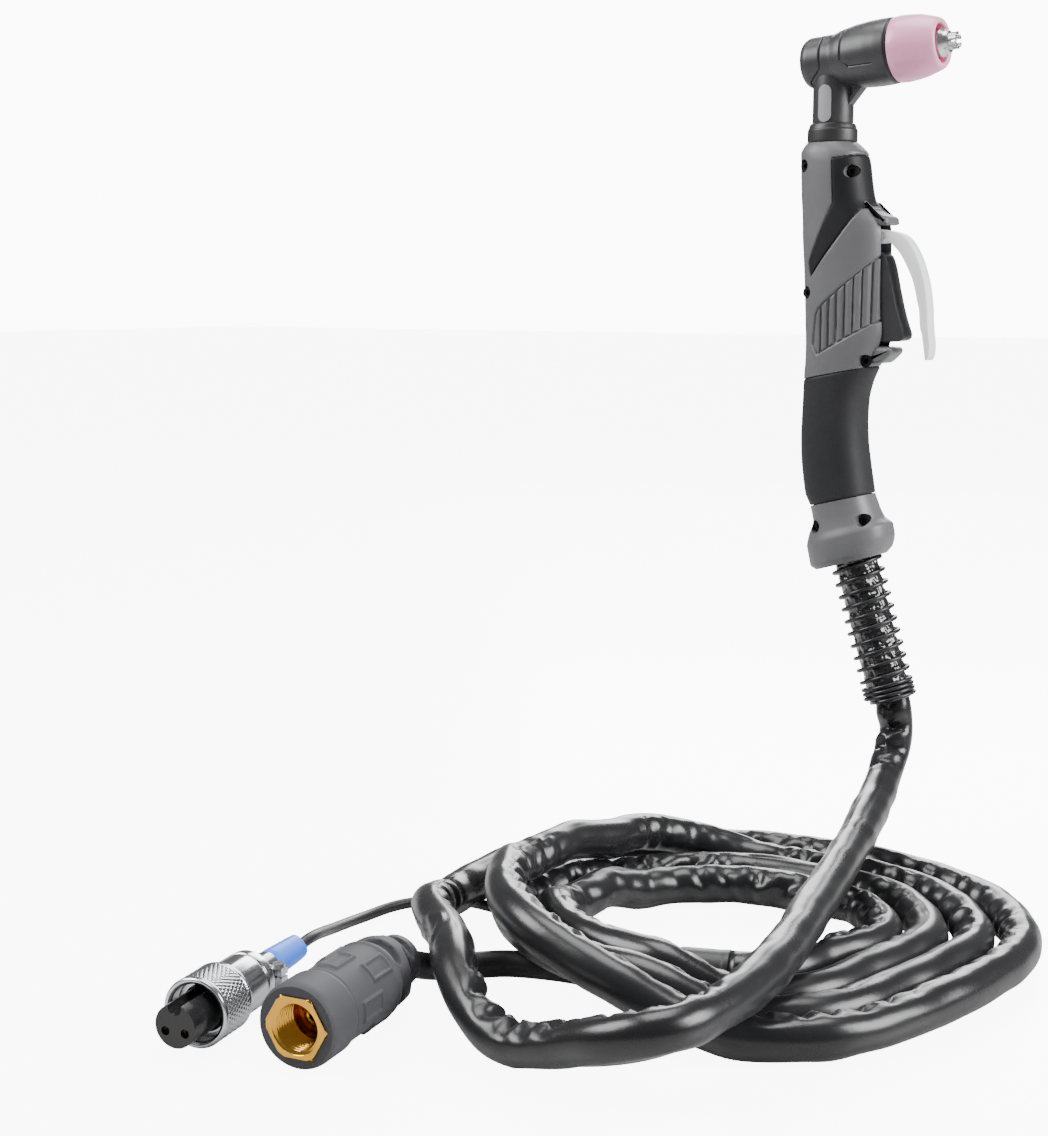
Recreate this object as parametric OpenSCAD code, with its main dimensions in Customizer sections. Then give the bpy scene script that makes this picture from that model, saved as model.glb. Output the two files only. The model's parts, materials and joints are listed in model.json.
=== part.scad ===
// Hand-held plasma cutting torch with a sheathed lead, a gas and power
// connector and a two-pole control plug. Millimetres, +Z up, +X the way
// the nozzle points. The origin is the middle of the grip, where a hand
// or a stand holds the torch upright. The lead lies on a floor below it.

/* [Head] */
// Height of the head axis above the grip, at the neck
head_z = 160.1; // [152:0.1:172]
// Upward tilt of the head
head_pitch = 4.6; // [0:0.2:15]
// Diameter of the head behind the neck
barrel_d = 22.7; // [21:0.1:27]
// Diameter of the head at its front collar
bell_d = 28.8; // [28.6:0.2:33]
// Length of the head in front of the neck axis
head_front = 29.5; // [28:0.1:34]
// Length of the head behind the neck axis
head_back = 13.2; // [12:0.1:17]
// Neck diameter
neck_d = 18.2; // [17:0.1:19.2]
// Distance of the neck axis behind the grip axis
neck_back = 6.2; // [5.4:0.1:6.6]
// Diameter of the neck's seal ring
collar_d = 22.3; // [21:0.1:23]

/* [Consumables] */
// Diameter of the ceramic cup at its seat
cup_d = 28.1; // [27:0.1:28.5]
// Length of the ceramic cup
cup_len = 20.8; // [19:0.1:25]
// Diameter of the cup's mouth
mouth_d = 16.6; // [16.2:0.1:17.6]
// Diameter of the nozzle's shoulder
nozzle_d = 12.5; // [12.2:0.1:12.8]
// Number of teeth on the nozzle's crown
crown_teeth = 6; // [4:1:8]
// Diameter of the nozzle's crown
crown_d = 7.4; // [6.8:0.1:8]
// Diameter of the electrode
electrode_d = 7.4; // [6.6:0.1:7.6]

/* [Handle] */
// Wall of the handle shells
wall = 2.6; // [2.2:0.1:3]
// Thickness of the soft grip
grip_t = 1.4; // [1:0.1:1.6]
// Thickness of the dark inlay beside the shoulder
inlay_t = 1.0; // [0.8:0.1:1.3]
// Depth of the side ribs' grooves
rib_depth = 0.7; // [0.5:0.1:1]
// Spacing of the side ribs' grooves
rib_pitch = 3.8; // [3.5:0.1:4.1]
// Width of the trigger's slot
slot_w = 11.4; // [11:0.1:12]
// Screw head diameter
screw_head_d = 5.2; // [4.6:0.1:5.6]
// Screw shank diameter
screw_d = 2.9; // [2.5:0.1:3]

/* [Trigger] */
// Width of the trigger
trigger_w = 10.4; // [9.6:0.1:10.6]
// Width of the safety lever
lever_w = 8; // [7:0.1:8.4]
// Blade thickness of the safety lever
lever_t = 2; // [1.6:0.1:2.4]
// Diameter of the trigger's and the lever's pins
pin_d = 2.6; // [2.2:0.1:2.8]
// Radial running clearance of the pins
pin_gap = 0.05; // [0.03:0.01:0.08]

/* [Strain relief] */
// Tilt of the strain relief towards the front
relief_tilt = 17; // [13:0.5:21]
// Length of the strain relief below the handle
relief_len = 64.5; // [54:0.5:72]
// Outer diameter of the relief spring
spring_d = 24; // [23.6:0.1:24.4]
// Wire diameter of the relief spring
wire_d = 1.8; // [1.4:0.1:2]
// Pitch of the spring's open turns
spring_pitch = 5.75; // [5:0.05:6.5]
// Outer diameter of the relief sleeve
sleeve_d = 18.8; // [18.4:0.1:19]

/* [Lead] */
// Diameter of the lead's fabric sheath
sheath_d = 16.4; // [15:0.1:16.6]
// Height of the floor below the grip
floor_drop = 196; // [196:1:200]
// Radius of the first turn of the pile
pile_r = 116.2; // [112:0.1:118]
// Step inwards from turn to turn
pile_step = 17.5; // [17.4:0.1:17.8]
// Diameter of the gas and power hose
hose_d = 10; // [9:0.1:10.4]
// Diameter of the control cable
cable_d = 4.4; // [4:0.1:4.6]

/* [Connectors] */
// Diameter of the rubber boot
boot_d = 30; // [29:0.2:30]
// Length of the rubber boot
boot_len = 70; // [66:1:72]
// Width across the flats of the brass nut
nut_af = 21; // [20:0.1:22]
// Thread diameter of the brass nut
nut_thread_d = 16; // [14:0.1:16.6]
// Depth of the nut's thread
nut_depth = 17; // [15:0.5:18]
// Diameter of the plug's coupling ring
ring_d = 25; // [24:0.1:25]
// Diameter of the plug's insert
insert_d = 15.4; // [14.6:0.1:15.6]
// Diameter of the plug's sockets
socket_d = 3.2; // [2.4:0.1:3.4]

/* [Hidden] */
$fn = 64;
floor_z = -floor_drop;

// ---- places along the head's axis, from the neck axis forward
s_step = 15;
s_seat = 38.7;
s_cup = head_front + 0.9;
s_mouth = s_cup + cup_len;
s_nozzle = s_seat - 0.2;
s_shoulder = s_mouth - 1.2;
s_crown = s_mouth + 3.2;
s_tip = s_crown + 3.7;
barrel_r = barrel_d / 2;
bell_r = bell_d / 2;
core_r1 = 7;
core_r2 = 10.6;
nose_r = 10.2;
swirl_out = 5.5;
electrode_r = electrode_d / 2;

// ---- neck and tube
top_z = 124.3;
neck_r = neck_d / 2;
neck_top = head_z - 3;
neck_foot = top_z + 0.9;
tube_r = 5.5;
tube_bore = 3;
tube_low = 98;
nut_h = 7;
nut_r = 8.6;
insert_len = 16.2;
insert_w = 6.2;
insert_mid = head_z - 19.2;
insert_deep = 1.3;
gusset_x = neck_r - neck_back;
gusset_low = max(head_z - 20.5, top_z + 9);

// ---- handle sections: height, tilt, offset, front, back, side
section_n = 2.4;
columns = 14;
stations = [
    [124.2, 0, -5.9, 10.8, 11.1, 10.8],
    [122.2, -0.8, -5.4, 12.8, 12.8, 12.2],
    [119.2, -1.6, -4.6, 14.7, 15, 13.3],
    [115.4, -2.2, -3.8, 14.9, 15.6, 13.8],
    [106.7, -1.8, -2.9, 15.3, 16.2, 14],
    [99, -1.5, -2, 16.1, 16.8, 14],
    [94.1, -1.4, -0.8, 18.7, 17.6, 14],
    [89.3, -1.2, -0.1, 21.4, 18.1, 14],
    [83.5, 0, 0.2, 22, 18.2, 14],
    [73.8, 1.4, 0.5, 21.9, 17.7, 14],
    [60.1, 3.5, 0.9, 21.8, 17.2, 14],
    [47.3, 5.5, 1.2, 22, 16.9, 14],
    [37.4, 7.9, 1.5, 22.6, 16.8, 14],
    [30.5, 9.7, 1.3, 21.5, 16.7, 14],
    [25.5, 10.9, 0.8, 20, 16.6, 14],
    [22, 11, 0.4, 18.5, 16.3, 14],
    [21.6, 11, 0.3, 18.4, 16.2, 14],
    [14.6, 11.3, -0.2, 15.5, 15.9, 14],
    [7.5, 11.6, -0.8, 14.4, 15.5, 14],
    [-1.5, 11.9, -1, 14.2, 15.6, 14],
    [-11.6, 12.3, -0.5, 14.3, 15.9, 14],
    [-21.7, 13.2, 0.8, 14.5, 16.2, 14],
    [-29.9, 13.8, 2.2, 14.5, 16.3, 14],
    [-36.3, 14.2, 3.5, 14.3, 14.7, 14],
    [-36.7, 14.3, 3.6, 14.3, 14.8, 14],
    [-43.2, 16, 5.3, 14.8, 15, 14.4],
    [-49.3, 17.2, 6.4, 16.5, 18.3, 15.4],
    [-54.5, 18.4, 7.4, 20, 20.2, 16.8],
    [-58.6, 18.2, 8.1, 20.1, 19.9, 17],
    [-63.6, 17.6, 8.9, 18.5, 19.6, 16.6],
    [-66.4, 17, 9.4, 15, 17.2, 14.8]
];
grip_first = 16;
grip_last = 23;
skin_out = 1.6;
cavity_top = 5;
cavity_low = 28;

// ---- handle features, as [x, z] on its side view
wedge = [[-0.3, 116.9], [25.3, 121], [26, 99.4], [13.3, 94.2], [-9.9, 64.5], [-11.5, 71], [0.9, 97.3]];
rib_field = [[-7.8, 35], [-5, 30.7], [23.9, 46.6], [23, 74.8], [-4.6, 51.3], [-6.2, 48.3]];
rib_line = 0.8;
rib_first = -4;
rib_count = 7;
hook = [[12.7, 99.1], [17.3, 93.9], [21, 91.8], [23.2, 91.4], [24.4, 90.1], [24.6, 85.6], [23.5, 85.8],
    [22.8, 87.3], [13.1, 87.5]];
chin = [[18.5, 34.3], [26.5, 34.6], [27.9, 33.3], [28, 31.3], [23, 26.7], [13, 26.5]];
boss_w = 9.6;
slot_low = 34.2;
slot_high = 87.4;
slot_back = 10.9;
screws = [[-14.9, 114], [7.9, 110.9], [-12.5, 58], [16.8, 27.8], [18.1, -43.3], [-4.4, -47.7]];
boss_r = 3.8;
screw_face = 6;
head_h = 2.2;
pilot_deep = 7.5;

// ---- trigger and lever, as [x, z] on the side view
lever_axis = [19.5, 82.5];
trigger_axis = [17.9, 72.1];
knuckle_r = 3.1;
trigger_shape = [[14.2, 70.6], [14.8, 74.3], [17.6, 75.7], [21.1, 75.6], [23, 73.8], [24.8, 69.2],
    [26.8, 60], [28.7, 52.3], [30.7, 45.5], [32.8, 40.1], [32.7, 38], [31.2, 36.8], [24.2, 36.1],
    [18.8, 36.5], [17, 40.5], [16.1, 55.1], [14.6, 65.8]];
lever_outer = [[19.4, 85.5], [23.6, 85], [29, 83.7], [32.6, 81], [35.5, 77.1], [38.3, 71.6],
    [40.2, 66.2], [41.7, 60.5], [43, 52.3], [43.6, 43.7], [44.6, 35.5], [44.4, 30.7], [43.3, 28.5]];
lever_inner = [[42.4, 28.7], [41.9, 32.2], [40.7, 39.3], [39.7, 42.9], [39, 50.2], [38.2, 53.3],
    [36.2, 61.5], [33.6, 67.6], [29.8, 74.3], [25.7, 78.8], [22.2, 81.3], [21.3, 80.1]];
trigger_edge = [[23.9, 71.5], [26.7, 60.9], [30.5, 46.9], [33, 38.8], [37.4, 38.8], [36.3, 71.4]];
trigger_pocket = [[13.4, 44.4], [22, 44.5], [22.6, 58], [20.1, 64.8], [12.8, 64.8]];
lever_pocket = [[35.3, 43.6], [27.1, 65.7], [23, 75.4], [26.2, 79.7]];
lever_notches = [53, 43.4];
lever_notch_x = 40;
spring_wire = 0.5;

// ---- switch
switch_x = [4, 12.8];
switch_z = [40, 60];
switch_w = 6.4;
plunger_z = 52;
plunger_r = 1.2;
plunger_tip = 15.85;
switch_pin_r = 1.1;
switch_posts = [for (z = [switch_z[0] + 2.5, switch_z[1] - 2.5]) [switch_x[0] + 3, z]];

// ---- strain relief
relief_top = [11, 0, -64.5];
relief_in = 8;
sleeve_r = sleeve_d / 2;
sleeve_bore = sheath_d / 2 + 0.4;
relief_bore = spring_d / 2 + 0.75;
closed_turns = 3.5;
close_pitch = 2.15;
open_turns = (relief_len + 4 - close_pitch * closed_turns - wire_d) / spring_pitch;

// ---- pile of the lead, in a frame turned with it: [side, back, height]
pile_turn = 35;
pile_mid = [-67.5, -147];
pile_shift = 5.7;
layer = 17.3;
sheath_r = sheath_d / 2;
lay_z = floor_z + sheath_r + 0.1;
turn_first = 0.1;
turn_last = 4;
loop_rings = 24;
loop_sides = 6;
riser_route = [[20.9, -14.6, -130], [21.7, -16.6, -141.5], [16.9, -25.1, -153], [9.7, -44.2, -160],
               [-1.6, -73.8, -164.6], [-15.1, -110.6, -167.2], [-26.5, -141, -168.5],
               [-41.9, -181.3, -169.6], [-58.4, -224.3, -170], [-73, -253.9, -170],
               [-89.3, -278.8, -170], [-105.3, -290.5, -170.8], [-120.5, -286.5, -174.8],
               [-135.5, -273.5, -182.2]];
hose_route = [[-107, -193.5, -190.8], [-121, -188.5, -190.8], [-137, -181.5, -190.8],
              [-154, -177.5, -190.8], [-170, -180.2, -190.6], [-182.3, -187.8, -188]];
cable_route = [[-104.5, -184.5, -193], [-114, -178.2, -193.7], [-123.5, -168.3, -193.7],
               [-132.5, -154.5, -193.7], [-141, -137, -193.7], [-150, -119, -193.7], [-163, -103, -193.7],
               [-180, -95, -193.7], [-199, -101, -193.7], [-214, -119, -193.2], [-222.5, -143, -189]];
band_len = 20;

// ---- connector and plug, as places of their front faces
conn_at = [-223.3, -263.2, floor_z + 15];
conn_yaw = 65;
plug_at = [-264.2, -255.7, floor_z + ring_d / 2];
plug_yaw = 67.5;
shell_len = 52;
ring_len = 14;
ring_front = 16;
insert_back = 33;
clamp_len = 8;
shrink_len = 21;
thread_len = 12;
nut_len = 22;
nipple_end = 44;
nipple_r = 6.4;
nipple_bore = 2.4;
boot_r = boot_d / 2;
hose_r = hose_d / 2;
cable_r = cable_d / 2;

// ================= helpers =================

module at_head() {
    translate([-neck_back, 0, head_z]) rotate([0, 90 - head_pitch, 0]) children();
}
module at_relief() {
    translate(relief_top) rotate([0, 180 - relief_tilt, 0]) children();
}
module at_conn() {
    translate(pile(conn_at)) rotate([0, 0, pile_turn + conn_yaw]) rotate([0, 90, 0]) children();
}
module at_plug() {
    translate(pile(plug_at)) rotate([0, 0, pile_turn + plug_yaw]) rotate([0, 90, 0]) children();
}
// A prism of a side-view outline, from y = low to y = high
module side_prism(outline, low, high) {
    translate([0, high, 0]) rotate([90, 0, 0]) linear_extrude(high - low) polygon(outline);
}
// A cylinder along Y at a side-view place
module side_bore(place, r, low, high) {
    translate([place[0], high, place[1]]) rotate([90, 0, 0]) cylinder(r = r, h = high - low);
}

function pile(p) = [
    p[0] * cos(pile_turn) - p[1] * sin(pile_turn) + pile_shift,
    p[0] * sin(pile_turn) + p[1] * cos(pile_turn),
    p[2]
];
function relief_point(s) = relief_top + s * [sin(relief_tilt), 0, -cos(relief_tilt)];
function unit(v) = v / norm(v);
// An outline drawn clockwise, moved inwards by d
function inset(p, d) = [for (i = [0 : len(p) - 1])
    let (n = len(p), a = inward(p[(i + n - 1) % n], p[i]), b = inward(p[i], p[(i + 1) % n]))
    p[i] + d * (a + b) / (1 + a * b)];
function inward(a, b) = let (t = unit(b - a)) [t[1], -t[0]];
function clamp01(v) = min(1, max(0, v));
// Smooth step from 0 at a to 1 at b
function ease(a, b, v) = let (u = clamp01((v - a) / (b - a))) u * u * (3 - 2 * u);
function bump(v, a, b, c, d) = ease(a, b, v) * (1 - ease(c, d, v));

// Catmull-Rom curve through points, with n pieces to a span
function knot(p, i) = p[min(len(p) - 1, max(0, i))];
function spline_at(p, i, u) = let (
        a = knot(p, i - 1), b = knot(p, i), c = knot(p, i + 1), d = knot(p, i + 2)
    ) b + 0.5 * u * ((c - a) + u * ((2 * a - 5 * b + 4 * c - d) + u * (3 * (b - c) + d - a)));
function spline(p, n) = concat(
    [for (i = [0 : len(p) - 2]) for (k = [0 : n - 1]) spline_at(p, i, k / n)], [p[len(p) - 1]]);

// Directions along a path, and frames carried along it without twist
function along(p, i, first, last) =
    i == 0 && first != undef ? unit(first) :
    i == len(p) - 1 && last != undef ? unit(last) :
    unit(knot(p, i + 1) - knot(p, i - 1));
function side_of(t, n) = unit(n - (n * t) * t);
function frames(p, first, last, n, i = 0, out = []) =
    i == len(p) ? out :
    let (t = along(p, i, first, last), m = side_of(t, n))
    frames(p, first, last, m, i + 1, concat(out, [[t, m]]));

// A closed tube along a path
module tube(path, r, sides, first = undef, last = undef, up = [0, 0, 1]) {
    fr = frames(path, first, last, up);
    pts = [for (i = [0 : len(path) - 1]) for (k = [0 : sides - 1])
        let (t = fr[i][0], m = fr[i][1], q = cross(t, m), a = 360 * (k + 0.5) / sides)
        path[i] + r * (cos(a) * m + sin(a) * q)];
    last_ring = (len(path) - 1) * sides;
    polyhedron(pts, concat(
        [for (k = [1 : sides - 2]) [0, k, k + 1]],
        [for (k = [1 : sides - 2]) [last_ring, last_ring + k + 1, last_ring + k]],
        [for (i = [0 : len(path) - 2]) for (k = [0 : sides - 1]) each
            let (a = i * sides + k, b = i * sides + (k + 1) % sides)
            [[a, a + sides, b], [b, a + sides, b + sides]]]
    ));
}

// ================= head =================

module torch_head() {
    color("#2b2b2d") difference() {
        union() {
            at_head() rotate_extrude() polygon([
                [0, -head_back], [barrel_r - 3, -head_back], [barrel_r - 1, -head_back + 0.9],
                [barrel_r, -head_back + 3], [barrel_r, 2.3], [barrel_r + 1.1, 5.6], [bell_r - 0.7, 12.6],
                [bell_r - 0.1, 19.5], [bell_r, 25], [bell_r - 0.2, head_front], [0, head_front]
            ]);
            translate([-neck_back, 0, neck_foot])
                cylinder(r1 = neck_r - 0.1, r2 = neck_r, h = neck_top - neck_foot);
            translate([gusset_x, 0, 0]) side_prism([[-3, head_z - 8], [6.2, head_z - 10],
                [6.2, head_z - 12], [-1, gusset_low], [-3, gusset_low]], -3, 3);
        }
        at_head() {
            translate([0, 0, -4.5]) cylinder(r = core_r1 + 0.05, h = s_step + 5);
            translate([0, 0, s_step]) cylinder(r = core_r2 + 0.05, h = 40);
            head_grooves();
        }
        translate([-neck_back, 0, neck_foot - 1]) cylinder(r = tube_r + 0.05, h = head_z - neck_foot);
        for (s = [-1, 1]) insert_shape(s, insert_w / 2 + 0.05, insert_deep + 0.1, 2);
        for (s = [-1, 1]) translate([gusset_x, 0, 0])
            side_prism([[0, head_z - 12.2], [3.8, head_z - 12.6], [0, head_z - 16.8]],
                s < 0 ? -4 : 2, s < 0 ? -2 : 4);
    }
}
// Joint lines of the two mouldings round the head
module head_grooves() {
    for (g = [[-2.2, barrel_r], [8.4, bell_r - 1.9]])
        translate([0, 0, g[0]]) rotate([0, 0, 70]) rotate_extrude(angle = 220)
            translate([g[1] - 0.35, 0]) square([3, 0.5]);
}
// Round-ended inlay on one side of the neck
module insert_shape(s, r, deep, out) {
    y0 = s < 0 ? -neck_r - out : neck_r - deep;
    intersection() {
        hull() for (d = [-1, 1])
            side_bore([-neck_back, insert_mid + d * (insert_len - insert_w) / 2], r, y0, y0 + deep + out);
        translate([-neck_back, 0, insert_mid - 20]) difference() {
            cylinder(r = neck_r + out, h = 40);
            translate([0, 0, -1]) cylinder(r = neck_r - deep, h = 42);
        }
    }
}
module neck_inserts() {
    color("#b9bbbd") for (s = [-1, 1]) insert_shape(s, insert_w / 2 - 0.05, insert_deep, 0.3);
}
module neck_collar() {
    color("#1a1a1b") translate([-neck_back, 0, top_z]) rotate_extrude() polygon([
        [neck_r + 0.05, 0.05], [collar_d / 2 - 0.3, 0.05], [collar_d / 2, 0.4], [collar_d / 2, 5.4],
        [neck_r + 0.9, 8.2], [neck_r + 0.05, 8.4]
    ]);
}
module head_o_ring() {
    color("#111112") at_head() rotate_extrude() polygon([
        [core_r2 - 0.3, head_front + 0.05], [bell_r - 0.5, head_front + 0.05],
        [bell_r - 0.3, head_front + 0.4], [bell_r - 0.5, head_front + 0.8], [core_r2 - 0.3, head_front + 0.8]
    ]);
}
module shield_cup() {
    r = cup_d / 2;
    m = mouth_d / 2;
    color("#e3b0bd") at_head() rotate_extrude() polygon([
        [nose_r + 0.1, s_cup], [r, s_cup], [r + 0.3, s_cup + 3.4], [r - 0.1, s_cup + 8.4],
        [r - 0.7, s_cup + 12.4], [r - 2.2, s_cup + 17.4], [m + 2.7, s_mouth - 1], [m + 1.9, s_mouth - 0.1],
        [m + 0.8, s_mouth], [m, s_mouth - 0.8], [m, s_seat + 1.5], [nose_r + 0.1, s_seat]
    ]);
}
module cup_liner() {
    color("#7c2030") at_head() rotate_extrude() polygon([
        [nozzle_d / 2 + 0.4, s_seat + 3], [mouth_d / 2 - 0.05, s_seat + 3],
        [mouth_d / 2 - 0.05, s_mouth - 2],
        [nozzle_d / 2 + 1.2, s_mouth - 2.6], [nozzle_d / 2 + 0.4, s_mouth - 3.4]
    ]);
}
module nozzle() {
    n = nozzle_d / 2;
    c = crown_d / 2;
    color("#c9cacc") at_head() difference() {
        rotate_extrude() polygon([
            [swirl_out + 0.03, s_nozzle], [mouth_d / 2 - 0.5, s_nozzle], [mouth_d / 2 - 0.5, s_nozzle + 1.8],
            [n, s_nozzle + 1.8], [n, s_shoulder - 2.4], [n - 0.4, s_shoulder - 2],
            [n - 0.4, s_shoulder - 0.8], [n, s_shoulder - 0.4], [n, s_shoulder + 1],
            [c + 1.4, s_crown - 1.6], [c + 0.9, s_crown],
            [c, s_crown + 0.2], [c, s_tip], [c - 1.2, s_tip], [c - 1.2, s_crown + 1.2], [0.6, s_crown + 0.2],
            [0.6, s_crown - 1.4], [electrode_r - 1, s_crown - 2.6], [electrode_r + 0.9, s_shoulder - 2],
            [swirl_out + 0.03, s_shoulder - 5]
        ]);
        for (k = [0 : crown_teeth - 1]) rotate([0, 0, (k + 0.5) * 360 / crown_teeth])
            translate([0, -0.8, s_tip - 2.3]) cube([c + 1, 1.6, 4]);
    }
}
module electrode() {
    color("#b46a3c") at_head() rotate_extrude() polygon([
        [0, 24], [electrode_r - 0.6, 24], [electrode_r, 24.6], [electrode_r, s_shoulder - 5],
        [electrode_r - 1.4, s_shoulder - 2.8], [1, s_shoulder - 2.4], [0, s_shoulder - 2.4]
    ]);
}
module swirl_ring() {
    color("#8a3324") at_head() difference() {
        translate([0, 0, s_nozzle + 0.1]) cylinder(r = swirl_out, h = 6);
        cylinder(r = electrode_r + 0.05, h = 60);
        for (k = [0 : 5]) rotate([0, 0, 60 * k]) translate([electrode_r + 0.9, 0, s_nozzle + 3])
            rotate([90, 0, 0]) cylinder(r = 0.4, h = 9, $fn = 16);
    }
}
module cathode_body() {
    color("#c9a04a") at_head() difference() {
        rotate_extrude() polygon([
            [0, -4.4], [core_r1, -4.4], [core_r1, s_step + 0.05], [core_r2, s_step + 0.05],
            [core_r2, head_front - 0.4], [nose_r, head_front - 0.4], [nose_r, s_seat - 0.6],
            [nose_r - 0.5, s_seat - 0.3], [0, s_seat - 0.3]
        ]);
        translate([0, 0, 23.9]) cylinder(r = electrode_r + 0.05, h = 30);
        for (g = [0 : 4]) translate([0, 0, head_front + 1.6 + 1.5 * g]) rotate_extrude()
            translate([nose_r - 0.4, 0]) square([1, 0.7]);
    }
}

// ================= tube, hose and wires inside =================

module torch_tube() {
    color("#c9a04a") difference() {
        translate([-neck_back, 0, tube_low]) cylinder(r = tube_r, h = neck_top - tube_low);
        translate([-neck_back, 0, tube_low - 1]) cylinder(r = tube_bore, h = head_z - tube_low);
        at_head() translate([0, 0, -20]) cylinder(r = core_r1 + 0.05, h = 60);
    }
}
module tube_nut() {
    color("#c9a04a") translate([-neck_back, 0, tube_low - nut_h]) difference() {
        intersection() {
            cylinder(r = nut_r, h = nut_h, $fn = 6);
            rotate_extrude() polygon([[0, 0], [nut_r - 1, 0], [nut_r - 0.1, 1], [nut_r - 0.1, nut_h - 1],
                [nut_r - 1, nut_h], [0, nut_h]]);
        }
        translate([0, 0, -1]) cylinder(r = tube_bore, h = nut_h + 2);
    }
}
module inner_hose() {
    path = spline([[-neck_back, 0, tube_low - nut_h], [-4, 0, 70], [-2.8, 0, 52], [-2.8, 0, 30],
        [-2, 0, 5], [0.4, 0, -16], [4.8, 0, -40], relief_point(-6), relief_point(relief_len - 12)], 2);
    color("#303134") tube(path, 4.4, 10, [0, 0, -1], relief_point(1) - relief_point(0), [1, 0, 0]);
}
module switch_wires() {
    path = spline([[7.1, 0, 37.6], [7.4, 0, 31], [7.6, 0, 20], [7.2, 0, 4], [8.6, 0, -14], [12.2, 0, -36],
        relief_point(-6) + [6, 0, 1.7], relief_point(14) + [6, 0, 1.7]], 1);
    color("#8f2222") for (s = [-1, 1]) translate([0, 1.2 * s, 0])
        tube(path, 0.9, 6, [0, 0, -1], relief_point(1) - relief_point(0), [1, 0, 0]);
}

// ================= handle =================

// One point of a handle section, off millimetres inside its surface
function section_point(st, j, off) = let (
        a = 180 * j / columns,
        reach = cos(a) >= 0 ? st[3] - off : st[4] - off,
        d = sign(cos(a)) * reach * pow(abs(cos(a)), 2 / section_n),
        w = (st[5] - off) * pow(abs(sin(a)), 2 / section_n)
    ) [st[2] + d * cos(st[1]), -w, st[0] + st[2] * tan(st[1]) + d * sin(st[1])];
function row(i, off) = [for (j = [0 : columns]) section_point(stations[i], j, off)];
function seat(i) = i >= grip_first && i <= grip_last ? grip_t + 0.1 : 0;
function strip(a, b) = [for (j = [0 : len(a) - 2]) each
    [[a[j], b[j], a[j + 1]], [a[j + 1], b[j], b[j + 1]]]];

// A lofted half body between sections first and last, closed at y = 0
module half_body(first, last, off, lap = 0) {
    n = columns + 1;
    rows = [for (i = [first : last]) row(i, off + (off == 0 ? seat(i) : 0))];
    pts = [for (r = rows) for (j = [0 : columns]) j == 0 || j == columns ? r[j] + [0, lap, 0] : r[j]];
    m = len(rows) - 1;
    polyhedron(pts, concat(
        [for (i = [0 : m - 1]) each
            strip([for (j = [0 : columns]) i * n + j], [for (j = [0 : columns]) (i + 1) * n + j])],
        [for (i = [0 : m - 1]) each
            [[i * n + columns, (i + 1) * n + columns, i * n], [i * n, (i + 1) * n + columns, (i + 1) * n]]],
        [for (j = [1 : columns - 1]) [0, j, j + 1]],
        [for (j = [1 : columns - 1]) [m * n, m * n + j + 1, m * n + j]]
    ));
}
// A lofted half skin between two depths
module half_skin(first, last, outer, inner) {
    n = columns + 1;
    m = last - first;
    size = (m + 1) * n;
    pts = concat([for (i = [first : last]) each row(i, outer)],
        [for (i = [first : last]) each row(i, inner)]);
    function line(k, i) = [for (j = [0 : columns]) k * size + i * n + j];
    function edge(k, j) = [for (i = [0 : m]) k * size + i * n + j];
    polyhedron(pts, concat(
        [for (i = [0 : m - 1]) each strip(line(0, i), line(0, i + 1))],
        [for (i = [0 : m - 1]) each strip(line(1, i + 1), line(1, i))],
        strip(line(1, 0), line(0, 0)), strip(line(0, m), line(1, m)),
        strip(edge(0, 0), edge(1, 0)), strip(edge(1, columns), edge(0, columns))
    ));
}

module shell_half(right) {
    difference() {
        union() {
            half_body(0, len(stations) - 1, 0);
            side_prism(hook, -boss_w / 2, 0);
            side_prism(chin, -boss_w / 2, 0);
        }
        difference() {
            half_body(cavity_top, cavity_low, wall, 1);
            for (p = screws) side_bore(p, boss_r, -20, 2);
            for (p = switch_posts) side_bore(p, switch_pin_r + 1.5, -20, -switch_w / 2 - 0.3);
            translate([-20, -30, tube_low + 0.1]) cube([40, 40, 2.4]);
        }
        translate([-neck_back, 0, tube_low - 1]) cylinder(r = tube_r + 0.1, h = top_z - tube_low + 10);
        translate([-neck_back, 0, tube_low - nut_h - 0.3]) cylinder(r = nut_r + 0.2, h = nut_h + 0.4);
        translate([slot_back, -slot_w / 2, slot_low]) cube([30, slot_w, slot_high - slot_low]);
        at_relief() translate([0, 0, -10]) cylinder(r = relief_bore, h = 30);
        side_bore(lever_axis, pin_d / 2 + 0.02, -slot_w / 2 - 3, 1);
        side_bore(trigger_axis, pin_d / 2 + 0.02, -slot_w / 2 - 3, 1);
        for (p = screws) {
            side_bore(p, right ? screw_d / 2 + 0.2 : screw_d / 2 + 0.02, right ? -20 : -pilot_deep, 1);
            if (right) side_bore(p, screw_head_d / 2 + 0.3, -20, -screw_face);
        }
        for (p = switch_posts) side_bore(p, switch_pin_r + 0.02, -switch_w / 2 - 3, 0);
        intersection() {
            side_prism(wedge, -20, 1);
            half_skin(2, 11, -skin_out, inlay_t);
        }
        intersection() {
            union() {
                for (k = [0 : rib_count - 1]) rib_groove(rib_first + k * rib_pitch);
            }
            half_skin(8, 14, -skin_out, rib_depth);
        }
    }
}
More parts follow.
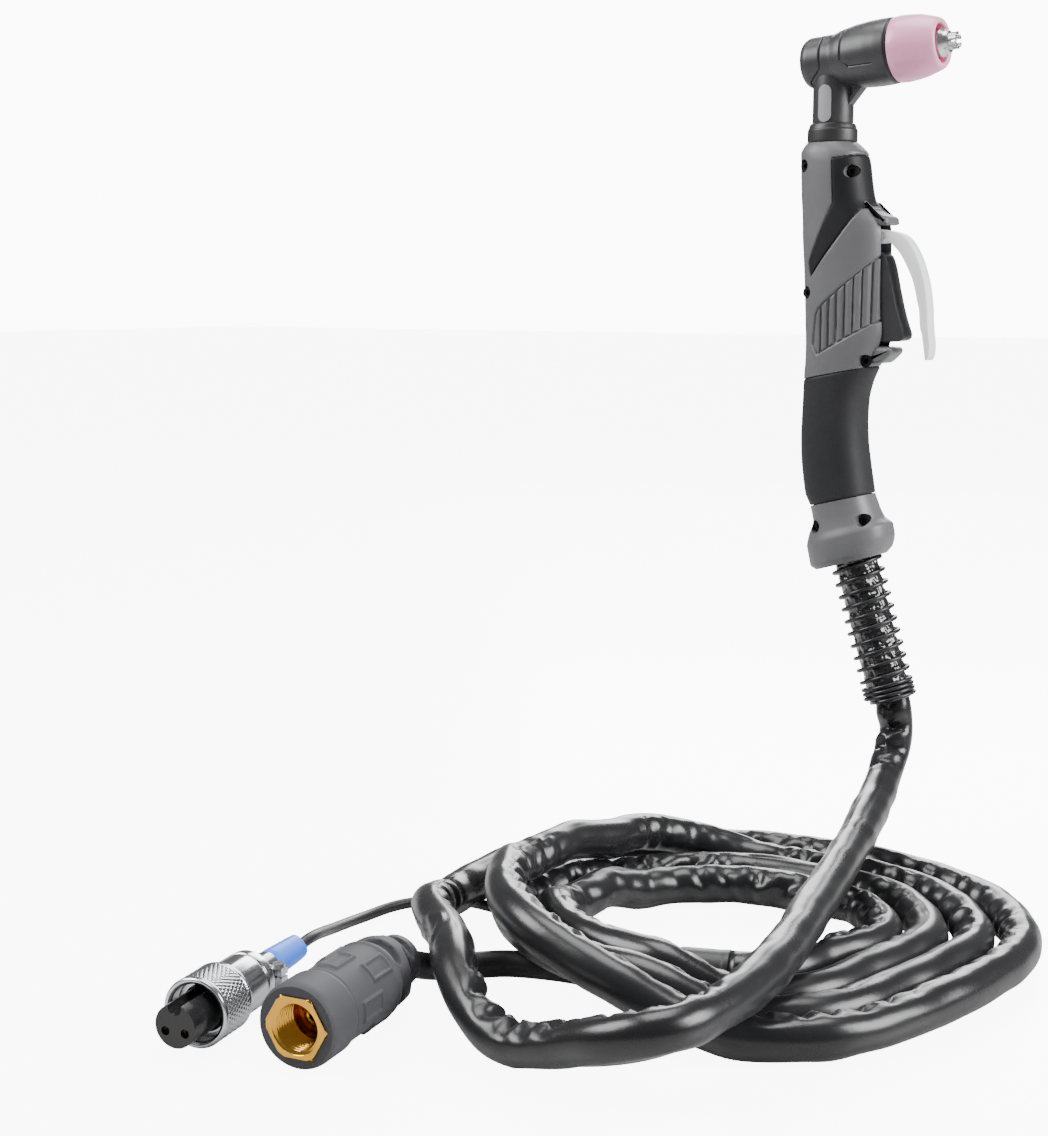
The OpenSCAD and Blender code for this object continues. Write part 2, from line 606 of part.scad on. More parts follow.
// One groove of the ribbed field, as a prism through the side
module rib_groove(x) {
    intersection() {
        side_prism(rib_field, -20, -2);
        translate([x, -20, 20]) cube([rib_line, 18, 70]);
    }
}
module handle_right() {
    color("#7d7e81") shell_half(true);
}
module handle_left() {
    color("#7d7e81") mirror([0, 1, 0]) shell_half(false);
}
module inlay_half() {
    intersection() {
        side_prism(inset(wedge, 0.08), -20, 0);
        half_skin(2, 11, 0, inlay_t - 0.05);
    }
}
module upper_inlay_right() {
    color("#3a3b3d") difference() {
        inlay_half();
        side_bore(screws[1], screw_head_d / 2 + 0.3, -20, 0);
    }
}
module upper_inlay_left() {
    color("#3a3b3d") mirror([0, 1, 0]) inlay_half();
}
module grip_right() {
    color("#4a4b4e") half_skin(grip_first, grip_last, 0, grip_t);
}
module grip_left() {
    color("#4a4b4e") mirror([0, 1, 0]) half_skin(grip_first, grip_last, 0, grip_t);
}
module handle_screws() {
    color("#202022") for (p = screws) difference() {
        union() {
            side_bore(p, screw_head_d / 2, -screw_face - head_h, -screw_face);
            side_bore(p, screw_d / 2, -screw_face, pilot_deep - 1);
        }
        translate([p[0], -screw_face - head_h + 1.2, p[1]]) rotate([90, 0, 0])
            cylinder(r = 1.3, h = 3, $fn = 6);
    }
}

// ================= trigger, lever and switch =================

module trigger() {
    color("#56575a") difference() {
        side_prism(trigger_shape, -trigger_w / 2, trigger_w / 2);
        side_bore(trigger_axis, pin_d / 2 + pin_gap, -10, 10);
        side_bore(trigger_axis, 3.3, trigger_w / 2 - 2.2, 10);
        for (s = [-1, 1]) translate([0, s * (trigger_w / 2 + 0.6), 0])
            side_prism(trigger_edge, -1.4, 1.4);
        side_prism(trigger_pocket, -3.2, -1.4);
        side_prism(trigger_pocket, 1.4, 3.2);
    }
}
module trigger_pin() {
    color("#b8babd") side_bore(trigger_axis, pin_d / 2, -slot_w / 2 - 2.8, slot_w / 2 + 2.8);
}
module lever() {
    color("#eceeee") difference() {
        union() {
            side_prism(concat(lever_outer, lever_inner), -lever_w / 2, lever_w / 2);
            side_bore(lever_axis, knuckle_r, -lever_w / 2, lever_w / 2);
        }
        side_bore(lever_axis, pin_d / 2 + pin_gap, -10, 10);
        side_prism(concat([for (k = [2 : 9]) lever_outer[k] - lever_t * lever_out(k)], lever_pocket),
            -lever_w / 2 + 1.6, lever_w / 2 - 1.6);
        for (z = lever_notches) side_prism([[36, z - 0.7], [lever_notch_x, z - 0.7],
            [lever_notch_x, z + 0.7], [36, z + 0.7]], -10, 10);
    }
}
// Outward direction at a point of the lever's outer curve
function lever_out(k) = let (t = unit(lever_outer[k + 1] - lever_outer[k - 1])) [-t[1], t[0]];
module lever_pin() {
    color("#b8babd") side_bore(lever_axis, pin_d / 2, -slot_w / 2 - 2.8, slot_w / 2 + 2.8);
}
// Torsion spring round a pin, with one leg
module torsion(place, y, turns, leg) {
    r = pin_d / 2 + pin_gap + spring_wire;
    steps = turns * 8;
    path = concat(
        [for (k = [0 : steps]) [place[0] + r * cos(45 * k), y + 0.56 * k / 8, place[1] + r * sin(45 * k)]],
        [[place[0] + r, y + 0.56 * turns, place[1] - leg]]);
    tube(path, spring_wire / 2, 6, undef, undef, [0, 1, 0]);
}
module trigger_spring() {
    color("#9a9da1") torsion(trigger_axis, trigger_w / 2 - 1.8, 2, 2);
}
module lever_spring() {
    color("#9a9da1") torsion(lever_axis, lever_w / 2 + 0.35, 2, 2);
}
module switch_body() {
    color("#1d2a44") difference() {
        union() {
            translate([switch_x[0], -switch_w / 2, switch_z[0]])
                cube([switch_x[1] - switch_x[0], switch_w, switch_z[1] - switch_z[0]]);
            for (k = [0 : 2]) translate([switch_x[0] + 2 + 2.2 * k, -1.6, switch_z[0] - 2.4])
                cube([0.5, 3.2, 2.6]);
        }
        for (p = switch_posts) side_bore(p, switch_pin_r + 0.05, -10, 10);
        translate([switch_x[1] - 6.5, 0, plunger_z]) rotate([0, 90, 0])
            cylinder(r = plunger_r + 0.05, h = 10);
    }
}
module switch_plunger() {
    color("#d8d9da") translate([plunger_tip - 7, 0, plunger_z]) rotate([0, 90, 0])
        cylinder(r = plunger_r, h = 7);
}
module switch_pins() {
    color("#b8babd") for (p = switch_posts)
        side_bore(p, switch_pin_r, -switch_w / 2 - 2.8, switch_w / 2 + 2.8);
}

// ================= strain relief =================

function spring_rise(k) = k <= open_turns ? k * spring_pitch :
    open_turns * spring_pitch + (k - open_turns) * close_pitch;
module relief_spring() {
    r = (spring_d - wire_d) / (1 + cos(22.5));
    turns = open_turns + closed_turns;
    path = [for (k = [0 : floor(turns * 8)])
        [r * cos(45 * k), r * sin(45 * k), spring_rise(k / 8) - 4 + wire_d / 2]];
    color("#5c5d60") at_relief() tube(path, wire_d / 2, 6);
}
module relief_sleeve() {
    color("#1b1b1d") at_relief() difference() {
        translate([0, 0, -relief_in]) cylinder(r = sleeve_r, h = relief_len + relief_in);
        translate([0, 0, -relief_in - 1]) cylinder(r = sleeve_bore, h = relief_len + relief_in + 2);
    }
}

// ================= lead =================

// Turn t of the pile: two turns lie on the floor, part of the second on top of the third
function pile_angle(t) = 270 - 360 * t;
function turned_angle(t) = (pile_angle(t) % 360 + 360) % 360;
// The pile is a little flat at its back and at its near right
function pile_flat(a) = 8 * bump(a, 20, 60, 150, 185) + 9 * bump(a, 280, 312, 320, 358);
function pile_radius(t) = pile_r - pile_step * max(0, t - 0.5) + 24 * (1 - ease(0.1, 0.2, t))
    - 18 * bump(t, 1.12, 1.25, 1.38, 1.5) - 8 * ease(3.75, 4.1, t) - pile_flat(turned_angle(t));
// Turns rise at the left, where the hose and the cable pass under them
function pile_lift(t) = let (a = turned_angle(t), near = t < 0.5) t > 3.9 ? 0 :
    5.2 * bump(a, 120, 146, near ? 210 : 240, near ? 234 : 268)
    + (near ? 7.6 : 5.6) * bump(a, 166, 188, near ? 210 : 240, near ? 234 : 268);
function pile_height(t) = lay_z + pile_lift(t) + layer * bump(t, 1.04, 1.16, 1.42, 1.56);
function pile_point(t) = pile([
    pile_mid[0] + pile_radius(t) * cos(pile_angle(t)),
    pile_mid[1] + pile_radius(t) * sin(pile_angle(t)),
    pile_height(t)]);
function pile_way(t) = pile_point(t + 0.002) - pile_point(t - 0.002);

coil_path = [for (k = [0 : round((turn_last - turn_first) * loop_rings)])
    pile_point(turn_first + k / loop_rings)];
coil_end = turn_first + round((turn_last - turn_first) * loop_rings) / loop_rings;

// Least distance between turns of the pile, less the sheath's diameter
coil_gap = min([for (i = [0 : len(coil_path) - 1]) for (k = [i + 12 : 1 : len(coil_path) - 2])
    line_gap(coil_path[i], coil_path[k], coil_path[k + 1])]) - sheath_d;
function line_gap(p, a, b) = let (u = clamp01(((p - a) * (b - a)) / ((b - a) * (b - a))))
    norm(p - a - u * (b - a));
echo(coil_gap = coil_gap);

module lead_riser() {
    start = relief_point(relief_len - 11);
    way = relief_point(1) - relief_point(0);
    route = concat([start], [for (p = riser_route) pile(p)], [pile_point(turn_first)]);
    halves = [for (i = [1 : len(route) - 2]) for (k = [0 : 1]) spline_at(route, i, k / 2)];
    path = concat([start], halves, [route[len(route) - 1]]);
    color("#5f6063") tube(path, sheath_r, 8, way, pile_way(turn_first), [0, 1, 0]);
}
module lead_coil() {
    color("#55565a") tube(coil_path, sheath_r, loop_sides, pile_way(turn_first), pile_way(coil_end));
}
module lead_end_band() {
    a = pile_point(coil_end);
    path = [a + 0.05 * band_way, a + band_way * band_len];
    color("#161617") tube(path, sheath_r - 0.1, 10, band_way, band_way);
}
band_way = unit(pile_way(coil_end));
band_side = unit(cross(band_way, [0, 0, 1]));
band_face = pile_point(coil_end) + band_way * band_len;
module power_hose() {
    tail = pile(conn_at) + boot_len * conn_way;
    start = band_face - 3 * band_side - [0, 0, 2.9];
    route = concat([start + 0.05 * band_way, start + 8 * band_way],
        [for (p = hose_route) pile(p)],
        [tail + 2.5 * conn_way - [0, 0, 2], tail - 8 * conn_way - [0, 0, 0.2],
        tail - 17 * conn_way, tail - (boot_len - nipple_end - 0.1) * conn_way]);
    color("#2a2b2d") tube(spline(route, 2), hose_r, 8, band_way, -conn_way);
}
conn_way = [cos(pile_turn + conn_yaw), sin(pile_turn + conn_yaw), 0];
plug_way = [cos(pile_turn + plug_yaw), sin(pile_turn + plug_yaw), 0];
module control_cable() {
    tail = pile(plug_at) + (shell_len + clamp_len + shrink_len) * plug_way;
    start = band_face + 5.2 * band_side - [0, 0, 1];
    route = concat([start + 0.05 * band_way, start + 8 * band_way - [0, 0, 1.6]],
        [for (p = cable_route) pile(p)], [tail + 15 * plug_way, tail + 3 * plug_way, tail - 9 * plug_way,
        tail - (shrink_len - 0.1) * plug_way]);
    color("#232426") tube(spline(route, 2), cable_r, 8, band_way, -plug_way);
}

// ================= gas and power connector =================

module connector_boot() {
    color("#3c3d40") at_conn() difference() {
        union() {
            rotate_extrude() polygon([
                [0, 0.6], [boot_r - 1.2, 0.6], [boot_r - 0.3, 1.4], [boot_r, 3], [boot_r, 15],
                [boot_r - 0.7, 16.5], [boot_r - 0.9, 18], [boot_r - 0.9, 48], [boot_r - 2.4, 50],
                [boot_r - 2.4, 52], [boot_r - 1.4, 54], [boot_r - 1.8, 59], [boot_r - 4, 60.5],
                [boot_r - 4.2, 62.5], [boot_r - 4.6, 64],
                [hose_r + 4.5, boot_len], [0, boot_len]
            ]);
            for (k = [0 : 7]) rotate([0, 0, 45 * k]) translate([boot_r - 2, -4, 22 + 9 * (k % 2)])
                cube([1.7, 8, 12]);
        }
        translate([0, 0, -1]) cylinder(r = (nut_af + 0.2) / sqrt(3), h = nut_len + 2, $fn = 6);
        translate([0, 0, nut_len]) cylinder(r = nipple_r + 1.3, h = boot_len - 12 - nut_len);
        cylinder(r = hose_r + 0.3, h = boot_len + 10);
        translate([0, 0, boot_len - 10]) cylinder(r1 = hose_r + 0.3, r2 = hose_r + 2, h = 10.1);
        for (k = [0 : 3]) rotate([0, 0, 90 * k + 45]) translate([hose_r + 3, -1, 64])
            cube([12, 2, boot_len]);
    }
}
module connector_nut() {
    color("#d8ab4e") at_conn() difference() {
        intersection() {
            cylinder(r = nut_af / sqrt(3), h = nut_len, $fn = 6);
            rotate_extrude() polygon([
                [0, 0], [nut_af * 0.54, 0], [nut_af * 0.6, 1.2], [nut_af * 0.6, nut_len], [0, nut_len]
            ]);
        }
        translate([0, 0, -1]) cylinder(r = nut_thread_d / 2, h = thread_len + 1);
        translate([0, 0, thread_len]) cylinder(r = nut_thread_d / 2 + 0.4, h = nut_depth - thread_len);
        cylinder(r = nipple_r + 0.06, h = nut_len + 10);
    }
}
module connector_nipple() {
    color("#c2953f") at_conn() difference() {
        rotate_extrude() polygon([
            [nipple_bore + 0.6, thread_len + 0.2], [4.4, thread_len + 0.8],
            [nipple_r + 0.9, thread_len + 2.4], [nipple_r + 0.9, nut_depth - 0.1],
            [nipple_r, nut_depth - 0.1], [nipple_r, nut_len + 4],
            [hose_r - 1.6, nut_len + 5], [hose_r - 1.6, nipple_end], [nipple_bore, nipple_end],
            [nipple_bore, thread_len + 0.6]
        ]);
        cylinder(r = nipple_bore, h = 60);
    }
}
module boot_clip() {
    color("#8d8f92") at_conn() difference() {
        translate([0, 0, nipple_end - 12]) cylinder(r = nipple_r + 0.8, h = 23);
        cylinder(r = hose_r - 1.55, h = 60);
        translate([0, 0, nipple_end + 0.05]) cylinder(r = hose_r + 0.05, h = 20);
    }
}

// ================= control plug =================

module plug_insert() {
    color("#3b3c3f") at_plug() difference() {
        cylinder(r = insert_d / 2, h = insert_back);
        translate([-insert_d / 2 + 1.2, 0, -1]) cylinder(r = 2.6, h = 25);
        for (s = [-1, 1]) translate([2, s * 3.8, -1]) cylinder(r = socket_d / 2, h = 40);
    }
}
module plug_contacts() {
    color("#d6b25a") at_plug() for (s = [-1, 1]) translate([2, s * 3.8, 2.5]) difference() {
        cylinder(r = socket_d / 2 - 0.02, h = insert_back - 2.6);
        translate([0, 0, -1]) cylinder(r = socket_d / 2 - 0.5, h = 10);
        translate([-3, -0.25, -1]) cube([6, 0.5, 8]);
    }
}
module plug_shell() {
    r = ring_d / 2;
    color("#c4c6c9") at_plug() difference() {
        rotate_extrude() polygon([
            [0, 25], [insert_d / 2 + 0.6, 25], [insert_d / 2 + 0.6, ring_front + 2],
            [r - 2.4, ring_front + 2], [r - 2.4, ring_front + ring_len - 1.5],
            [r - 1.9, ring_front + ring_len + 0.1], [r - 1.9, 43], [r - 2.2, 43.3], [r - 2.2, 44],
            [r - 1.9, 44.3], [r - 2.1, 48], [6.4, shell_len], [0, shell_len]
        ]);
        translate([0, 0, -1]) cylinder(r = insert_d / 2 + 0.05, h = insert_back + 2);
        cylinder(r = 5.2, h = 50);
        cylinder(r = cable_r + 0.8, h = 80);
    }
}
module plug_ring() {
    r = ring_d / 2;
    color("#d2d4d7") at_plug() difference() {
        rotate_extrude() polygon([
            [r - 2.35, ring_front + 2], [r - 2.35, ring_front - 3], [r - 1.4, ring_front - 4],
            [r - 0.5, ring_front - 4], [r, ring_front - 3.4], [r, ring_front + ring_len - 1],
            [r - 0.5, ring_front + ring_len], [r - 1.8, ring_front + ring_len],
            [r - 2.35, ring_front + ring_len - 1.6]
        ]);
        for (k = [0 : 35]) rotate([0, 0, 10 * k]) translate([r - 0.25, 0, ring_front - 2])
            rotate([0, 0, 45]) cube([0.6, 0.6, ring_len]);
    }
}
module plug_clamp() {
    color("#c4c6c9") at_plug() difference() {
        union() {
            translate([0, 0, shell_len]) cylinder(r = 5.7, h = clamp_len);
            translate([-2.4, -10, shell_len + 1.4]) cube([7, 20, 4.6]);
        }
        cylinder(r = cable_r + 0.6, h = 90);
        translate([0, 0, shell_len + clamp_len - 2.1]) cylinder(r = 4.45, h = 4);
        translate([0, -12, shell_len + 1.2]) cube([0.8, 24, 20]);
        for (s = [-1, 1]) translate([-9, s * 7.7, shell_len + 3.7]) rotate([0, 90, 0])
            cylinder(r = 1.25, h = 20);
    }
}
module clamp_screws() {
    color("#b2b4b8") at_plug() for (s = [-1, 1]) translate([-2.4, s * 7.7, shell_len + 3.7])
        rotate([0, 90, 0]) {
            difference() {
                translate([0, 0, -1.8]) cylinder(r = 2.2, h = 1.8);
                translate([-3, -0.3, -2.4]) cube([6, 0.6, 1.2]);
            }
            cylinder(r = 1.23, h = 6.6);
        }
}
module heat_shrink() {
    color("#2f6fe0") at_plug() difference() {
        translate([0, 0, shell_len + clamp_len]) rotate_extrude() polygon([
            [0, -2], [4.4, -2], [4.4, 0.1], [6, 1.5], [5.2, shrink_len], [0, shrink_len]
        ]);
        translate([0, 0, 40]) cylinder(r = cable_r + 0.12, h = 100);
    }
}

torch_head();
neck_inserts();
neck_collar();
head_o_ring();
shield_cup();
cup_liner();
nozzle();
electrode();
swirl_ring();
cathode_body();
torch_tube();
tube_nut();
inner_hose();
switch_wires();
handle_right();
handle_left();
upper_inlay_right();
upper_inlay_left();
grip_right();
grip_left();
handle_screws();
trigger();
trigger_pin();
trigger_spring();
lever();
lever_pin();
lever_spring();
switch_body();
switch_plunger();
switch_pins();
relief_spring();
relief_sleeve();
lead_riser();
lead_coil();
lead_end_band();
power_hose();
control_cable();
connector_boot();
connector_nut();
connector_nipple();
boot_clip();
plug_insert();
plug_contacts();
plug_shell();
plug_ring();
plug_clamp();
clamp_screws();
heat_shrink();
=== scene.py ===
"""Looks of a hand-held plasma cutting torch with its sheathed lead, gas connector and control plug.

Every size is in metres, in the torch's own frame: +X the way the nozzle points, +Z up the handle,
the origin in the middle of the grip. The lead lies on a floor below it.
"""

import json
import logging
import math
from dataclasses import dataclass, field
from enum import Enum

import bmesh
import bpy
import numpy as np
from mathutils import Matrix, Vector

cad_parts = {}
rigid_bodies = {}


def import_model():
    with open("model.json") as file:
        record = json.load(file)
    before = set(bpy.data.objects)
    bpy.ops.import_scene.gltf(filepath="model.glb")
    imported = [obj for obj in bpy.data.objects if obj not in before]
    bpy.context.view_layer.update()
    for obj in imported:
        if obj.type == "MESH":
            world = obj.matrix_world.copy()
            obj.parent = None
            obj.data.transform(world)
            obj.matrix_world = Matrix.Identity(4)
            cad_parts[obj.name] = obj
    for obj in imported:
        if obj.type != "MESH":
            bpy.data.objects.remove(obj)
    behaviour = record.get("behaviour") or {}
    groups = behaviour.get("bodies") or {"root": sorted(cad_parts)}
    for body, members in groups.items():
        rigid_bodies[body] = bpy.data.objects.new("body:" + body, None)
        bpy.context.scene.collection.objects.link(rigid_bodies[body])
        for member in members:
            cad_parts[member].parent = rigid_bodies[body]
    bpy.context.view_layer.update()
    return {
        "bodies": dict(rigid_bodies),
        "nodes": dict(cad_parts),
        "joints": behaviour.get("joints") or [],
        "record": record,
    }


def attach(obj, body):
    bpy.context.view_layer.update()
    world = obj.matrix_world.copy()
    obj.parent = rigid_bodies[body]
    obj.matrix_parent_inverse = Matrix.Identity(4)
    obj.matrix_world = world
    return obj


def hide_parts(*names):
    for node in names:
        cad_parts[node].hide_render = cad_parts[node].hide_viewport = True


LOG = logging.getLogger("torch")
MM = 0.001

# ---- places shared with the solids
FLOOR_Z = -196 * MM
HEAD_AT = np.array([-6.2, 0.0, 160.1]) * MM
HEAD_PITCH = math.radians(4.6)
HEAD_WAY = np.array([math.cos(HEAD_PITCH), 0.0, math.sin(HEAD_PITCH)])
HEAD_UP = np.array([-math.sin(HEAD_PITCH), 0.0, math.cos(HEAD_PITCH)])
RELIEF_TOP = np.array([11.0, 0.0, -64.5]) * MM
RELIEF_TILT = math.radians(17)
RELIEF_WAY = np.array([math.sin(RELIEF_TILT), 0.0, -math.cos(RELIEF_TILT)])
RELIEF_LENGTH = 64.5 * MM
PILE_TURN = math.radians(35)
PILE_SHIFT = 5.7 * MM
CONNECTOR_YAW = math.radians(65)
PLUG_YAW = math.radians(67.5)
PLUG_TAIL = 81 * MM
BOOT_LENGTH = 70 * MM
CONNECTOR_AT = (-223.3, -263.2, -181.0)
PLUG_AT = (-264.2, -255.7, -183.5)


# ================= numbers and curves =================


def lane(points: list) -> np.ndarray:
    """Turns places given along the pile's own side, back and height axes into the torch's frame.

    Args:
        points: rows of side, back and height, in millimetres.

    Returns:
        The same rows as x, y and z in metres.
    """
    p = np.atleast_2d(np.array(points, float)) * MM
    c, s = math.cos(PILE_TURN), math.sin(PILE_TURN)
    return np.column_stack([p[:, 0] * c - p[:, 1] * s + PILE_SHIFT, p[:, 0] * s + p[:, 1] * c, p[:, 2]])


def level_way(yaw: float) -> np.ndarray:
    """Unit direction along the floor, at an angle from the pile's own side axis."""
    return np.array([math.cos(PILE_TURN + yaw), math.sin(PILE_TURN + yaw), 0.0])


def ease(a: float, b: float, v: np.ndarray) -> np.ndarray:
    """Smooth step from 0 at a to 1 at b: 3u^2 - 2u^3 of the clamped share u."""
    u = np.clip((v - a) / (b - a), 0, 1)
    return u * u * (3 - 2 * u)


def bump(v: np.ndarray, a: float, b: float, c: float, d: float) -> np.ndarray:
    """Smooth hump that rises from a to b and falls from c to d."""
    return ease(a, b, v) * (1 - ease(c, d, v))


def unit(v: np.ndarray) -> np.ndarray:
    """Rows scaled to length one."""
    return v / np.maximum(np.linalg.norm(v, axis=-1, keepdims=True), 1e-12)


def spline(points: np.ndarray, pieces: int) -> np.ndarray:
    """Catmull-Rom curve through points, the cubic whose slope at a point is half its neighbours' difference.

    Args:
        points: control points, one a row.
        pieces: steps to a span.

    Returns:
        The curve's points, ending on the last control point.
    """
    p = np.asarray(points, float)
    padded = np.vstack([p[:1], p, p[-1:]])
    u = (np.arange(pieces) / pieces)[None, :, None]
    a, b, c = (padded[k : k + len(p) - 1][:, None, :] for k in (0, 1, 2))
    d = np.vstack([padded[3:], padded[-1:]])[: len(p) - 1][:, None, :]
    curve = b + 0.5 * u * ((c - a) + u * ((2 * a - 5 * b + 4 * c - d) + u * (3 * (b - c) + d - a)))
    return np.vstack([curve.reshape(-1, p.shape[1]), p[-1:]])


def running(path: np.ndarray) -> np.ndarray:
    """Length of a line from its start to each of its points."""
    return np.concatenate([[0], np.cumsum(np.linalg.norm(np.diff(path, axis=0), axis=1))])


def even(path: np.ndarray, step: float) -> np.ndarray:
    """The same line with points a step apart, found by its running length."""
    run = running(path)
    s = np.linspace(0, run[-1], max(2, int(round(run[-1] / step)) + 1))
    return np.column_stack([np.interp(s, run, path[:, k]) for k in range(path.shape[1])])


def monotone(x: np.ndarray, y: np.ndarray, q: np.ndarray) -> np.ndarray:
    """Smooth curve through points that never swings past them: cubic spans whose slope at a point is the
    weighted harmonic mean of its neighbours' slopes, and level where these change sign.

    Args:
        x: growing places.
        y: values there.
        q: places asked for.

    Returns:
        The values at q.
    """
    h = np.diff(x)
    slope = np.diff(y) / h
    m = np.zeros(len(y))
    w1, w2 = 2 * h[1:] + h[:-1], h[1:] + 2 * h[:-1]
    one_way = slope[:-1] * slope[1:] > 0
    safe = [np.where(one_way, part, 1.0) for part in (slope[:-1], slope[1:])]
    m[1:-1] = np.where(one_way, (w1 + w2) / (w1 / safe[0] + w2 / safe[1]), 0)
    m[0], m[-1] = slope[0], slope[-1]
    k = np.clip(np.searchsorted(x, q, side="right") - 1, 0, len(h) - 1)
    u = (q - x[k]) / h[k]
    return (
        y[k] * (1 + 2 * u) * (1 - u) ** 2 + y[k + 1] * u * u * (3 - 2 * u)
        + h[k] * (m[k] * u * (1 - u) ** 2 - m[k + 1] * u * u * (1 - u))
    )


def edge_distance(x: np.ndarray, z: np.ndarray, outline: list) -> np.ndarray:
    """Distance from places to a closed outline, below zero inside it.

    Args:
        x: first coordinates.
        z: second coordinates.
        outline: the corners, in order.

    Returns:
        Signed distances, in the outline's own unit.
    """
    corners = np.array(outline, float)
    least = np.full(np.shape(x), np.inf)
    inside = np.zeros(np.shape(x), bool)
    for a, b in zip(corners, np.roll(corners, -1, 0)):
        way = b - a
        u = np.clip(((x - a[0]) * way[0] + (z - a[1]) * way[1]) / (way @ way), 0, 1)
        least = np.minimum(least, np.hypot(x - a[0] - u * way[0], z - a[1] - u * way[1]))
        crosses = (a[1] > z) != (b[1] > z)
        rise = way[1] if abs(way[1]) > 1e-9 else 1e-9
        inside ^= crosses & (x < a[0] + (z - a[1]) * way[0] / rise)
    return np.where(inside, -least, least)


def inset(outline: list, distance: float) -> np.ndarray:
    """A closed outline drawn clockwise, with each side moved inwards by a distance."""
    p = np.array(outline, float)
    way = unit(np.roll(p, -1, 0) - p)
    after = np.column_stack([way[:, 1], -way[:, 0]])
    before = np.roll(after, 1, 0)
    return p + distance * (before + after) / (1 + (before * after).sum(1, keepdims=True))


def circle(sides: int) -> np.ndarray:
    """Angles of even steps once round, from 0."""
    return np.linspace(0, 2 * math.pi, sides, endpoint=False)


def directions(path: np.ndarray) -> np.ndarray:
    """Unit directions along a line, from the points before and after each."""
    return unit(np.gradient(path, axis=0))


def carried_normals(tangents: np.ndarray, first: np.ndarray) -> np.ndarray:
    """Normals carried along a line without twist: each is the one before it, less its part along the line.

    Args:
        tangents: unit directions.
        first: a vector near the first normal.

    Returns:
        Unit normals, one a row.
    """
    normals = np.empty_like(tangents)
    n = np.asarray(first, float)
    for i, t in enumerate(tangents):
        n = n - t * (n @ t)
        n = n / np.linalg.norm(n)
        normals[i] = n
    return normals


def ripples(seed: int, u: np.ndarray, v: np.ndarray, scale: float, waves: int = 9) -> np.ndarray:
    """Smooth, seeded unevenness: a sum of sine waves of random direction over a surface.

    Args:
        seed: which pattern.
        u: first coordinate, in metres.
        v: second coordinate, in metres.
        scale: the usual distance between two humps, in metres.
        waves: how many waves are added.

    Returns:
        Values of about -1 to 1.
    """
    rng = np.random.default_rng(seed)
    total = np.zeros(np.broadcast(u, v).shape)
    for _ in range(waves):
        angle = rng.uniform(0, 2 * math.pi)
        k = 2 * math.pi / (scale * rng.uniform(0.6, 1.6))
        total = total + np.sin(k * (math.cos(angle) * u + math.sin(angle) * v) + rng.uniform(0, 6.28))
    return total / math.sqrt(waves)


# ================= meshes =================


def make_mesh(
    name: str, points: np.ndarray, faces: np.ndarray, smooth: bool = True, lids: tuple = ()
) -> bpy.types.Object:
    """A mesh object at the origin from points and quads or triangles.

    Args:
        name: the piece's name.
        points: places in metres, one a row.
        faces: rows of point numbers; a repeated last number marks a triangle.
        smooth: whether the faces are shaded round.
        lids: further faces of any number of corners.

    Returns:
        The object, linked to the scene.
    """
    mesh = bpy.data.meshes.new(name)
    rows = [f[:3] if f[2] == f[3] else f for f in faces.tolist()]
    mesh.from_pydata(np.asarray(points, float).reshape(-1, 3).tolist(), [], rows + [list(lid) for lid in lids])
    mesh.polygons.foreach_set("use_smooth", np.full(len(mesh.polygons), smooth))
    mesh.update()
    piece = bpy.data.objects.new(name, mesh)
    bpy.context.scene.collection.objects.link(piece)
    return piece


def grid_faces(rows: int, columns: int, closed_columns: bool = False, closed_rows: bool = False) -> np.ndarray:
    """Quads of a grid of points numbered row by row, joined round where it is closed."""
    i = np.arange(rows if closed_rows else rows - 1)[:, None]
    j = np.arange(columns if closed_columns else columns - 1)[None, :]
    i2, j2 = (i + 1) % rows, (j + 1) % columns
    corners = (i * columns + j, i * columns + j2, i2 * columns + j2, i2 * columns + j)
    return np.stack(np.broadcast_arrays(*corners), -1).reshape(-1, 4)


def closed_tube(name: str, path: np.ndarray, rings: np.ndarray) -> bpy.types.Object:
    """A tube through rings of points about a line, with a flat cap at both ends.

    Args:
        name: the piece's name.
        path: centre line, one point a ring.
        rings: the points, by ring and by step round it.

    Returns:
        The object.
    """
    count, sides = rings.shape[:2]
    n, last = count * sides, (count - 1) * sides
    k = np.arange(sides)
    after = (k + 1) % sides
    start = np.column_stack([np.full(sides, n), after, k, k])
    end = np.column_stack([np.full(sides, n + 1), last + k, last + after, last + after])
    points = np.vstack([rings.reshape(-1, 3), path[:1], path[-1:]])
    return make_mesh(name, points, np.vstack([grid_faces(count, sides, True), start, end]))


def swept_tube(
    name: str,
    path: np.ndarray,
    radius: float,
    sides: int,
    first_normal: tuple = (0, 0, 1),
) -> bpy.types.Object:
    """A closed tube: at each point of the path a ring p + r(cos a n + sin a b), with a flat cap at both ends.

    Args:
        name: the piece's name.
        path: centre line, one point a row.
        radius: the tube's radius, in metres.
        sides: points to a ring.
        first_normal: a vector near the first ring's normal.

    Returns:
        The object.
    """
    tangents = directions(path)
    normals = carried_normals(tangents, np.array(first_normal, float))
    sides_way = np.cross(tangents, normals)
    a = circle(sides)
    ring = np.cos(a)[None, :, None] * normals[:, None] + np.sin(a)[None, :, None] * sides_way[:, None]
    return closed_tube(name, path, path[:, None] + radius * ring)


